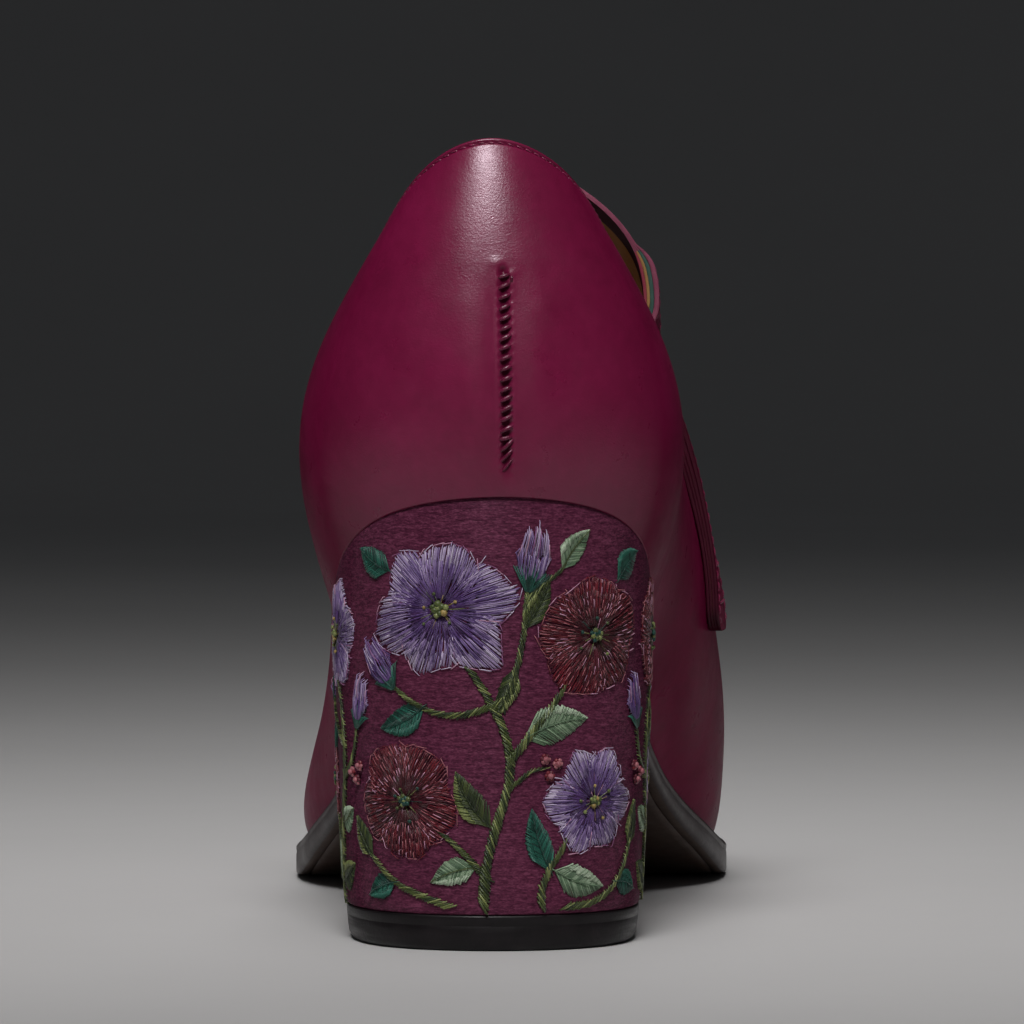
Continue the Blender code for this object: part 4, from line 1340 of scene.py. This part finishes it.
def bud(bundle, base, tip, wide, shade=LILAC, rim=LILAC_RIM, cup=("teal", "teal", "teal_light")):
    """Closed bud: folded petals of long stitches in a cup of short leaves."""
    tips, mids, roots = shade
    base, tip = np.asarray(base, float), np.asarray(tip, float)
    d = tip - base
    perp = np.array((-d[1], d[0])) / float(np.hypot(*d))
    n = max(8, int(wide / 0.27))
    for i in range(n + 1):
        q = -0.97 + 1.94 * i / n
        w = math.sqrt(max(0.0, 1 - q * q))
        hi = 0.56 + 0.40 * w + 0.08 * math.cos(9.5 * q) + rng.uniform(-0.04, 0.04)
        a = base + d * (0.5 - 0.40 * w) + 0.42 * wide * q * perp
        b = base + d * hi + 0.40 * wide * q * perp
        m = 0.5 * (a + b) + 0.10 * wide * q * perp
        stitch(bundle, b, m + (a - m) * rng.uniform(-0.1, 0.3), pick(*tips), 0.17, 0.2 + 0.3 * w, 0.12 + 0.40 * w)
        stitch(bundle, m + (b - m) * rng.uniform(0.0, 0.4), a, pick(*mids), 0.17, 0.2 + 0.3 * w, 0.16 + 0.42 * w)
        if i % 4 == 1:
            stitch(bundle, b, m + (a - m) * rng.uniform(0.0, 0.4), pick(*rim), 0.12, 0.2 + 0.3 * w, 0.30 + 0.44 * w)
    for q in (-0.95, -0.6, -0.25, 0.1, 0.45, 0.8):
        b = base + d * (0.26 + 0.20 * (1 - abs(q)) + rng.uniform(-0.03, 0.05)) + 0.5 * wide * q * perp
        for k in range(4):
            off = 0.07 * (k - 1.5) * wide * perp
            stitch(bundle, base - 0.05 * d + 0.3 * off, b + off, pick(*cup), 0.18, 0.30, 0.50)


def berries(bundle, spots, tones, r=0.95):
    """Round berries, each a ring of wound knots round a higher one."""
    for i, c in enumerate(spots):
        for j in range(6):
            knot(bundle, spread(c, 0.62 * r, 2 * math.pi * j / 6 + i), pick(*tones), 0.46 * r, 0.35)
        knot(bundle, c, tones[0], 0.58 * r, 0.75)


def embroider():
    stems, leaves, lilac, red = Bundle(), Bundle(), Bundle(), Bundle()
    # ---- back: one stem that parts near the top, a short one beside it
    stem(stems, [(-3.0, 7.4), (-1.5, 18.0), (1.6, 30.0), (-1.0, 40.0), (-5.0, 46.5)], 2.7)
    stem(stems, [(1.2, 31.0), (6.0, 37.0), (11.0, 43.5)], 2.2)
    stem(stems, [(-2.2, 12.0), (-6.0, 16.0), (-10.0, 19.5)], 2.0)
    stem(stems, [(7.4, 7.4), (8.0, 12.0), (11.5, 17.5)], 2.2)
    stem(stems, [(-0.5, 41.0), (-8.0, 39.0), (-15.0, 41.0), (-18.6, 43.6)], 1.8)
    stem(stems, [(0.6, 40.5), (3.4, 50.0), (4.4, 59.5)], 1.8)
    leaf(leaves, (-13.0, 40.4), (-22.0, 36.6), 5.0, FRESH, 0.8, "teal")
    leaf(leaves, (4.0, 35.2), (15.4, 38.4), 6.4, SAGE, 0.9, "sage_dark")
    leaf(leaves, (-1.6, 20.5), (-7.6, 29.8), 5.0, MOSS, 0.8, "olive_dark")
    leaf(leaves, (9.6, 13.4), (20.0, 10.4), 5.4, SAGE, -0.7, "sage_dark")
    leaf(leaves, (9.0, 13.0), (5.4, 23.6), 4.6, FRESH, 0.6, "teal")
    leaf(leaves, (-4.2, 14.0), (-12.4, 11.4), 4.6, SAGE, -0.5, "olive")
    leaf(leaves, (2.6, 47.0), (-1.2, 38.6), 0.2 + 3.2, MOSS, 0.4, "olive_dark")
    leaf(leaves, (22.0, 61.0), (28.4, 65.6), 5.0, FRESH, 0.5, "teal")
    leaf(leaves, (3.6, 53.0), (8.2, 61.8), 3.8, MOSS, -0.5, "olive_dark")
    blossom(lilac, (-10.0, 56.4), 13.4, turn=0.30)
    poppy(red, (16.6, 52.0), 11.2, 0.35)
    blossom(lilac, (17.0, 24.6), 9.8, count=6, turn=0.05)
    poppy(red, (-16.8, 24.8), 10.4, 0.95)
    bud(lilac, (-18.8, 43.4), (-25.2, 51.0), 6.0, VIOLET)
    bud(lilac, (4.5, 59.6), (6.4, 70.4), 6.2)
    stem(stems, [(1.6, 27.0), (5.0, 29.6), (7.6, 30.2)], 1.3)
    berries(red, [(8.4, 29.0), (9.8, 31.0), (7.6, 31.8)], ("rose", "red", "wine"), 0.9)
    stem(stems, [(-9.0, 7.4), (-14.0, 9.0), (-20.0, 11.4), (-25.4, 15.4)], 1.9)
    leaf(leaves, (-19.6, 11.2), (-27.0, 8.6), 4.4, FRESH, -0.4, "teal")
    leaf(leaves, (-25.2, 15.2), (-30.4, 21.6), 4.4, MOSS, 0.5, "olive_dark")
    stem(stems, [(12.0, 7.4), (18.0, 8.0), (24.0, 11.4), (27.6, 17.0)], 1.9)
    leaf(leaves, (23.4, 11.0), (31.0, 9.2), 4.4, FRESH, 0.4, "teal")
    leaf(leaves, (27.4, 16.6), (29.2, 24.2), 4.2, MOSS, -0.4, "olive_dark")
    leaf(leaves, (-19.6, 62.6), (-27.0, 66.2), 5.0, FRESH, 0.4, "teal")
    leaf(leaves, (10.4, 63.0), (15.6, 69.4), 4.2, SAGE, 0.5, "olive")
    stem(stems, [(4.2, 58.0), (7.4, 60.6), (10.6, 63.2)], 1.4)
    # ---- sides: a spray on each, of like make
    for on in (-1, 1):
        at = lambda *pts: [(on * s, z) for s, z in pts]
        one = lambda s, z: (on * s, z)
        stem(stems, at((43.0, 7.2), (40.0, 17.0), (36.4, 27.0), (36.0, 36.0), (38.5, 43.0)), 2.4)
        stem(stems, at((40.6, 16.0), (45.0, 19.0), (48.5, 21.0)), 1.9)
        stem(stems, at((36.4, 27.5), (31.5, 31.0), (29.2, 36.0)), 1.7)
        stem(stems, at((36.2, 33.0), (44.0, 37.0), (51.5, 40.0)), 1.7)
        stem(stems, at((57.0, 7.2), (58.6, 12.0), (58.0, 17.0)), 1.7)
        leaf(leaves, one(39.0, 20.0), one(32.4, 22.6), 4.4, SAGE, 0.6 * on, "olive")
        leaf(leaves, one(42.0, 10.0), one(33.0, 13.4), 4.8, MOSS, 0.5 * on, "olive_dark")
        leaf(leaves, one(44.4, 18.4), one(48.0, 9.6), 4.8, SAGE, 0.5 * on, "olive")
        leaf(leaves, one(58.0, 12.0), one(64.0, 16.0), 4.0, MOSS, 0.4 * on, "olive_dark")
        leaf(leaves, one(43.0, 36.6), one(48.5, 31.8), 0.2 + 3.4, FRESH, 0.5 * on, "teal")
        if on < 0:
            blossom(lilac, one(39.6, 51.0), 10.4, turn=0.2)
            poppy(red, one(54.0, 26.0), 8.8, 0.6)
        else:
            poppy(red, one(39.8, 51.0), 10.0, 0.2)
            blossom(lilac, one(54.0, 26.0), 8.8, turn=0.4)
        bud(lilac, one(29.0, 36.4), one(26.6, 45.4), 5.2, VIOLET if on > 0 else LILAC)
        bud(lilac, one(52.0, 40.2), one(60.0, 43.6), 5.0)
        berries(red, [one(29.4, 27.6), one(31.4, 28.8), one(28.4, 30.0)], ("rose", "red", "wine"), 0.9)
    for name, b in (("embroidery_stems", stems), ("embroidery_leaves", leaves), ("embroidery_lilac", lilac), ("embroidery_red", red)):
        b.object(name, THREADS, "heel_block")


embroider()


# ================================================================ strap and button
def strap_thick(x, z):
    """The strap thins towards the end that is sewn on the medial side."""
    if x < 0:
        return STRAP_THICK
    return STRAP_THICK - (STRAP_THICK - STRAP_END) * float(smooth((86.0 - z) / 24.0))


def strap_on_wall(lines, side, z):
    out = STRAP_GAP + strap_thick(side, z)
    rear = 88.0 + STRAP_RUN * (99.0 - z)
    for k, line in enumerate(lines):
        line.append(on_wall(side, rear + 0.5 * k * STRAP_WIDE, z, out))


def strap_lines():
    lines = ([], [], [])
    for z in STRAP_LAT_Z[::-1]:
        strap_on_wall(lines, -1, z)
    for x, y, z, slope, turn in STRAP_ARCH:
        a = math.radians(slope)
        for k, line in enumerate(lines):
            across = np.array((turn, STRAP_WIDE * math.cos(a), -STRAP_WIDE * math.sin(a)))
            line.append(np.array((x, y, z)) + 0.5 * k * across)
    for z in STRAP_MED_Z:
        strap_on_wall(lines, 1, z)
    return [Curve(line, False) for line in lines]


LINES = strap_lines()
LAST = len(LINES[0].p) - 1
_s = np.linspace(0.0, LAST, 900)
_m = np.array([LINES[1].at(s) for s in _s])
_l = lengths(_m)
STRAP_LONG = _l[-1]


def strap_section(l):
    """Face of the strap at a length along it: point at q across its width (0 rear, 1 front), and the normal."""
    s = float(np.interp(l, _l, _s))
    p = [c.at(s) for c in LINES]
    w = unit(p[2] - p[0])
    n = [unit(np.cross(c.at(s, True), w)) for c in LINES]
    def at(q, depth):
        base = p[0] * (1 - q) * (1 - 2 * q) + 4 * p[1] * q * (1 - q) + p[2] * q * (2 * q - 1)
        m = unit(n[0] * (1 - q) * (1 - 2 * q) + 4 * n[1] * q * (1 - q) + n[2] * q * (2 * q - 1))
        return base - depth * m, m
    return at


LAYERS = [
    # from, to, inset, face, edge
    (0.0, 0.92, 0.00, 0, 1),
    (0.92, 1.66, 0.16, 2, 2),
    (1.66, 2.22, 0.10, 3, 3),
    (2.22, STRAP_THICK, 0.05, 4, 5),
]
STRAP_MATS = [leather_strap, edge_pink, edge_teal, edge_tan, strap_lining_painted_shade, edge_red, lining, edge_painted_shade]
ROUND = 5.0


def skived(l):
    """How thin the strap is at l: its rear edge over the arch, its sewn end, and how far that end's lining is drawn in to the wall."""
    x, _, z = strap_section(l)(0.0, 0.0)[0]
    over = 1.0 - math.sin(0.5 * math.pi * min(max((117.8 - z) / 5.4, 0.0), 1.0))
    x, _, z = strap_section(l)(0.5, 0.0)[0]
    drawn = 0.44 * float(smooth((88.0 - z) / 8.0)) if x > 0 else 0.0
    return over, strap_thick(x, z) / STRAP_THICK, drawn


def pared(o, d, thin):
    """Depth under the strap's face once it is pared."""
    over, end, drawn = thin
    cut = 0.67 * over * (1.0 - float(smooth(o / 8.0)))
    d = STRAP_THICK - (STRAP_THICK - d) * (1.0 - cut)
    return d * end + drawn * (max(d, 0.0) / STRAP_THICK) ** 3


def pinch(l):
    d = min(l, STRAP_LONG - l)
    if d >= ROUND:
        return 0.0
    return ROUND - math.sqrt(max(0.0, ROUND * ROUND - (ROUND - d) ** 2))


def make_strap():
    ends = [0.0, 0.12, 0.35, 0.7, 1.2, 1.8, 2.6, 3.5, 4.3, 5.0]
    stops = ends + list(np.linspace(5.0, STRAP_LONG - 5.0, 190)[1:-1]) + [STRAP_LONG - e for e in ends[::-1]]
    verts, faces, index = [], [], []
    for d0, d1, inset, face, edge in LAYERS:
        rings = []
        for l in stops:
            at = strap_section(l)
            thin = skived(l)
            w = inset * (1.0 - thin[0]) + pinch(l)
            c = 0.22 if face == 0 else 0.10
            ring = []
            if face == 0:
                offs = [(w + c, d0), (w + 0.75, d0 - 0.06), (w + 1.55, d0 + 0.16), (w + 2.4, d0 - 0.03)]
            else:
                offs = [(w + c, d0), (w + 0.75, d0), (w + 1.55, d0), (w + 2.4, d0)]
            span = STRAP_WIDE
            if w + 2.4 > 0.5 * span - 0.5:
                offs = [(w + c, d0)] + [(w + c + (0.5 * span - w - c) * f, d0) for f in (0.25, 0.5, 0.75)]
            top = [(o, d) for o, d in offs] + [(0.5 * span + (0.5 * span - offs[-1][0]) * f, d0 - (0.04 if face == 0 else 0.0)) for f in (-0.5, 0.0, 0.5)]
            top += [(span - o, d) for o, d in offs[::-1]]
            loop = top + [(span - w, d0 + c), (span - w, 0.5 * (d0 + d1)), (span - w, d1 - 0.08), (span - w - 0.10, d1)]
            loop += [(span * f + 0.0, d1) for f in (0.75, 0.5, 0.25) if w + 0.3 < span * f < span - w - 0.3] if w < 3.0 else [(0.5 * span + (0.5 * span - w) * f, d1) for f in (0.5, 0.0, -0.5)]
            loop += [(w + 0.10, d1), (w, d1 - 0.08), (w, 0.5 * (d0 + d1)), (w, d0 + c)]
            for o, d in loop:
                ring.append(at(o / span, pared(o, d, thin))[0])
            rings.append(ring)
        n = len(rings[0])
        base = len(verts)
        for k in range(len(rings) - 1):
            height = rings[k][0][2]
            # painted shade: below 94 mm (101 mm on the lateral side) the edges take the near-black edge colour,
            # material 7, and so do both ends
            side = 7 if height < 94.0 or rings[k][0][0] < 0 and height < 101.0 else 1 if height > 115.8 else edge
            # painted shade: on the inner face, the quarter by the rear edge takes the near-black strap lining and the
            # rest the tan lining
            inner = [6, 6, 6, 4] if face == 4 else [face] * 4
            kinds = [face] * 10 + [side] * 4 + inner + [side] * 4
            for i in range(n):
                j = (i + 1) % n
                faces.append((base + k * n + i, base + k * n + j, base + (k + 1) * n + j, base + (k + 1) * n + i))
                index.append(kinds[i])
        for k, turn in ((0, True), (len(rings) - 1, False)):
            ids = [base + k * n + i for i in range(n)]
            mid = len(ids)
            tops, rest = ids[:11], ids[11:]
            low = rest[::-1]
            # ladder between the outer face and the rest of the loop
            a, b = tops, [ids[-1]] + [ids[-2], ids[-3], ids[-4]] + [ids[17], ids[16], ids[15]] + [ids[14], ids[13], ids[12], ids[11]]
            for i in range(10):
                f = list(dict.fromkeys((a[i], a[i + 1], b[i + 1], b[i])))
                faces.append(tuple(f if turn else f[::-1]))
                index.append(7)
        verts += [p for ring in rings for p in ring]
    make("strap_layers", verts, faces, STRAP_MATS, index, "strap", 55)


def make_strap_stitches():
    sew = Bundle()
    for off in (1.55, STRAP_WIDE - 1.55):
        line = []
        for l in np.linspace(2.2, STRAP_LONG - 2.2, 400):
            w = pinch(l)
            o = max(off, w + 1.55) if off < 7 else min(off, STRAP_WIDE - w - 1.55)
            p, n = strap_section(l)(o / STRAP_WIDE, pared(o, 0.10, skived(l)))
            line.append(np.concatenate([p, n]))
        line = np.array(line)
        l = lengths(line[:, :3])
        pts, dirs = even(line[:, :3], 2.1)
        ll = np.linspace(0.0, l[-1], len(pts))
        nn = unit(np.stack([np.interp(ll, l, line[:, 3 + k]) for k in range(3)], 1))
        for p, d, n in zip(pts, dirs, nn):
            wob = rng.uniform(0.95, 1.05)
            b = np.cross(n, d)
            d = unit(d + 0.08 * b)
            path = [p + d * f * 1.7 * wob + n * h for f, h in ((-0.5, -0.25), (-0.34, 0.05), (0.0, 0.13), (0.34, 0.05), (0.5, -0.25))]
            sew.tube(path, [n] * 5, [0.14, 0.23, 0.23, 0.23, 0.14], 0)
    # two cross rows that hold the strap's lower end to the medial side
    for l in (STRAP_LONG - 5.2, STRAP_LONG - 12.0):
        at = strap_section(l)
        for i in range(5):
            q = 0.18 + 0.64 * (i + 0.5) / 5
            p, n = at(q, 0.0)
            p2, _ = at(q + 0.05, 0.0)
            d = unit(p2 - p)
            path = [p + d * f * 1.6 + n * h for f, h in ((-0.5, -0.25), (-0.34, 0.05), (0.0, 0.13), (0.34, 0.05), (0.5, -0.25))]
            sew.tube(path, [n] * 5, [0.14, 0.23, 0.23, 0.23, 0.14], 0)
    # worked buttonhole that shows above the button
    low = STRAP_LAT_Z[::-1]
    k = max(i for i, z in enumerate(low) if z <= BUTTON_Z)
    l0 = float(np.interp(k + (BUTTON_Z - low[k]) / (low[k + 1] - low[k]), _s, _l))
    for i in range(16):
        l = l0 + 1.0 + 0.62 * i
        for side in (-1, 1):
            at = strap_section(l)
            p, n = at(0.5 + side * 0.022, 0.0)
            q, _ = at(0.5 + side * 0.105, 0.0)
            sew.tube([p + 0.02 * n, p + (q - p) * 0.3 + 0.20 * n, p + (q - p) * 0.7 + 0.16 * n, q - 0.15 * n], [n] * 4, [0.22, 0.25, 0.22, 0.14], 0)
    for i in range(5):
        at = strap_section(l0 + 11.0 + 0.22 * (i % 2))
        p, n = at(0.5 + 0.035 * (i - 2), 0.0)
        q, _ = strap_section(l0 + 12.3)(0.5 + 0.035 * (i - 2), 0.0)
        sew.tube([p - 0.05 * n, p + (q - p) * 0.3 + 0.2 * n, p + (q - p) * 0.7 + 0.16 * n, q - 0.15 * n], [n] * 4, [0.18, 0.25, 0.22, 0.14], 0)
    # painted shade: a dark strip laid on the strap along the buttonhole stands in for the shade inside its slit
    slit_shade = []
    for l in np.linspace(l0, l0 + 11.2, 14):
        p, n = strap_section(l)(0.5, 0.0)
        slit_shade.append((p + 0.03 * n, n))
    sew.tube([p for p, _ in slit_shade], [n for _, n in slit_shade], [0.1] + [0.30] * 12 + [0.1], 1, 6, 0.35)
    sew.object("strap_stitches", [stitch_burgundy, stitch_dark], "strap")
    return l0


def make_button(l0):
    seat, n = strap_section(l0)(0.5, 0.0)
    u = unit(np.cross(n, (0.0, 1.0, 0.0)))
    v = np.cross(n, u)
    profile = (
        (0.30, -0.06), (0.80, -0.02), (0.93, 0.03), (0.985, 0.10), (1.0, 0.18), (1.0, 0.27), (0.985, 0.35), (0.955, 0.395), (0.93, 0.405), (0.905, 0.40),
        (0.885, 0.425), (0.86, 0.50), (0.81, 0.62), (0.74, 0.73), (0.64, 0.83), (0.52, 0.905), (0.38, 0.96), (0.22, 0.99), (0.08, 1.0),
    )
    seg = 56
    base = seat + (GAP + 0.3) * n
    verts, faces = [], []
    for k, (r, h) in enumerate(profile):
        for i in range(seg):
            a = 2 * math.pi * i / seg
            gather = 1.0 + (0.010 * math.cos(17 * a) if 2 <= k <= 8 else 0.0)
            verts.append(base + BUTTON_R * r * gather * (math.cos(a) * u + math.sin(a) * v) + BUTTON_TALL * h * n)
    for k in range(len(profile) - 1):
        for i in range(seg):
            j = (i + 1) % seg
            faces.append((k * seg + i, k * seg + j, (k + 1) * seg + j, (k + 1) * seg + i))
    top = len(verts)
    verts.append(base + BUTTON_TALL * n)
    for i in range(seg):
        faces.append(((len(profile) - 1) * seg + i, (len(profile) - 1) * seg + (i + 1) % seg, top))
    low = len(verts)
    verts.append(base - 0.06 * BUTTON_TALL * n)
    for i in range(seg):
        faces.append((i, low, (i + 1) % seg))
    ob = make("button_covered", verts, faces, [leather_button], None, "button")
    c = np.mean(verts, 0)
    f = np.array(verts)[list(faces[seg * 5])]
    if np.cross(f[1] - f[0], f[2] - f[0]) @ (f.mean(0) - c) < 0:
        ob.data.flip_normals()
    # shank: a short wrapped post between the button and the strap
    post = Bundle()
    for i in range(4):
        ring = [base + (0.1 - 0.26 * i) * n + 1.35 * (math.cos(a) * u + math.sin(a) * v) for a in np.linspace(0, 2 * math.pi, 15)]
        post.tube(ring, [n] * 15, 0.2, 0, 5)
    post.object("button_shank", [stitch_burgundy], "button")


make_strap()
make_button(make_strap_stitches())


# ================================================================ stage, light, camera
def make_floor():
    seg = 72
    prof = [(0.0, 0.0), (0.4, 0.0), (1.2, 0.0), (2.05, 0.0)]
    prof += [(2.05 + 2.2 * math.sin(a), 2.2 - 2.2 * math.cos(a)) for a in np.linspace(0.06, math.pi / 2, 24)]
    prof += [(4.25, 3.6)]
    verts, faces = [(0.0, 0.0, 0.0)], []
    for r, z in prof[1:]:
        verts += [(r * math.cos(2 * math.pi * i / seg), r * math.sin(2 * math.pi * i / seg), z) for i in range(seg)]
    for i in range(seg):
        faces.append((0, 1 + i, 1 + (i + 1) % seg))
    for k in range(len(prof) - 2):
        for i in range(seg):
            j = (i + 1) % seg
            a, b = 1 + k * seg, 1 + (k + 1) * seg
            faces.append((a + i, b + i, b + j, a + j))
    me = bpy.data.meshes.new("floor")
    me.from_pydata(verts, [], faces)
    me.polygons.foreach_set("use_smooth", np.ones(len(me.polygons), bool))
    m = Mat("paper_pale")
    m.colour(m.ramp(m.noise(3.0, 3.0, 0.5), [(0.3, (0.505, 0.500, 0.497)), (0.7, (0.535, 0.530, 0.527))]))
    m.rough(m.span(m.noise(40.0, 2.0), 0.7, 0.8))
    m.set(spec=0.2)
    me.materials.append(m.mat)
    ob = bpy.data.objects.new("floor", me)
    bpy.context.scene.collection.objects.link(ob)
    ob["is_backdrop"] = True


make_floor()


def lamp(name, where, aim, size, watts, colour=(1.0, 1.0, 1.0), shape="RECTANGLE", tall=None, fan=180.0):
    data = bpy.data.lights.new(name, "AREA")
    data.shape = shape
    data.size = size
    if shape == "RECTANGLE":
        data.size_y = tall or size
    data.energy = watts
    data.color = colour
    data.spread = math.radians(fan)
    ob = bpy.data.objects.new(name, data)
    ob.location = where
    ob.rotation_mode = "QUATERNION"
    ob.rotation_quaternion = (Vector(aim) - Vector(where)).to_track_quat("-Z", "Y")
    ob.visible_camera = False
    bpy.context.scene.collection.objects.link(ob)
    return ob


lamp("key", (-0.131, -1.012, 1.179), (-0.0105, -0.108, 0.165), 0.72, 0.94, (1.0, 0.985, 0.985), tall=0.34, fan=32.0)
lamp("over", (-0.05, -0.40, 1.35), (0.0, -0.09, 0.10), 0.40, 0.35, (1.0, 0.985, 0.97), fan=90.0)
lamp("pool", (0.0, 0.05, 1.9), (0.0, 0.05, 0.0), 0.70, 0.6, (1.0, 0.99, 0.98), fan=80.0)
lamp("front", (0.25, 1.30, 1.9), (0.0, 0.05, 0.03), 0.80, 0.4, (1.0, 0.98, 0.97), fan=70.0)
lamp("card", (-0.10, -2.4, 0.62), (0.0, -0.10, 0.10), 0.80, 0.5, (1.0, 0.98, 0.97), tall=0.60)

world = bpy.data.worlds.new("studio")
bpy.context.scene.world = world
world.use_nodes = True
world.node_tree.nodes["Background"].inputs["Color"].default_value = (0.92, 0.95, 1.0, 1.0)
world.node_tree.nodes["Background"].inputs["Strength"].default_value = 0.06

cam_data = bpy.data.cameras.new("camera")
cam_data.sensor_width = 36.0
cam_data.lens = 247.6
cam_data.clip_start = 0.05
cam_data.clip_end = 30.0
cam = bpy.data.objects.new("camera", cam_data)
bpy.context.scene.collection.objects.link(cam)
eye = Vector((-0.0597, -1.2648, 0.112))
yaw, pitch = math.radians(2.646), math.radians(-1.963)
look = Vector((math.sin(yaw) * math.cos(pitch), math.cos(yaw) * math.cos(pitch), math.sin(pitch)))
cam.location = eye
cam.rotation_mode = "QUATERNION"
cam.rotation_quaternion = look.to_track_quat("-Z", "Y")
bpy.context.scene.camera = cam

bpy.context.scene.view_settings.view_transform = "Standard"
bpy.context.scene.view_settings.look = "None"

total = 0
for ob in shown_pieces():
    tris = sum(len(p.vertices) - 2 for p in ob.data.polygons)
    total += tris
    print("piece", ob.name, tris)
print("triangles", total)
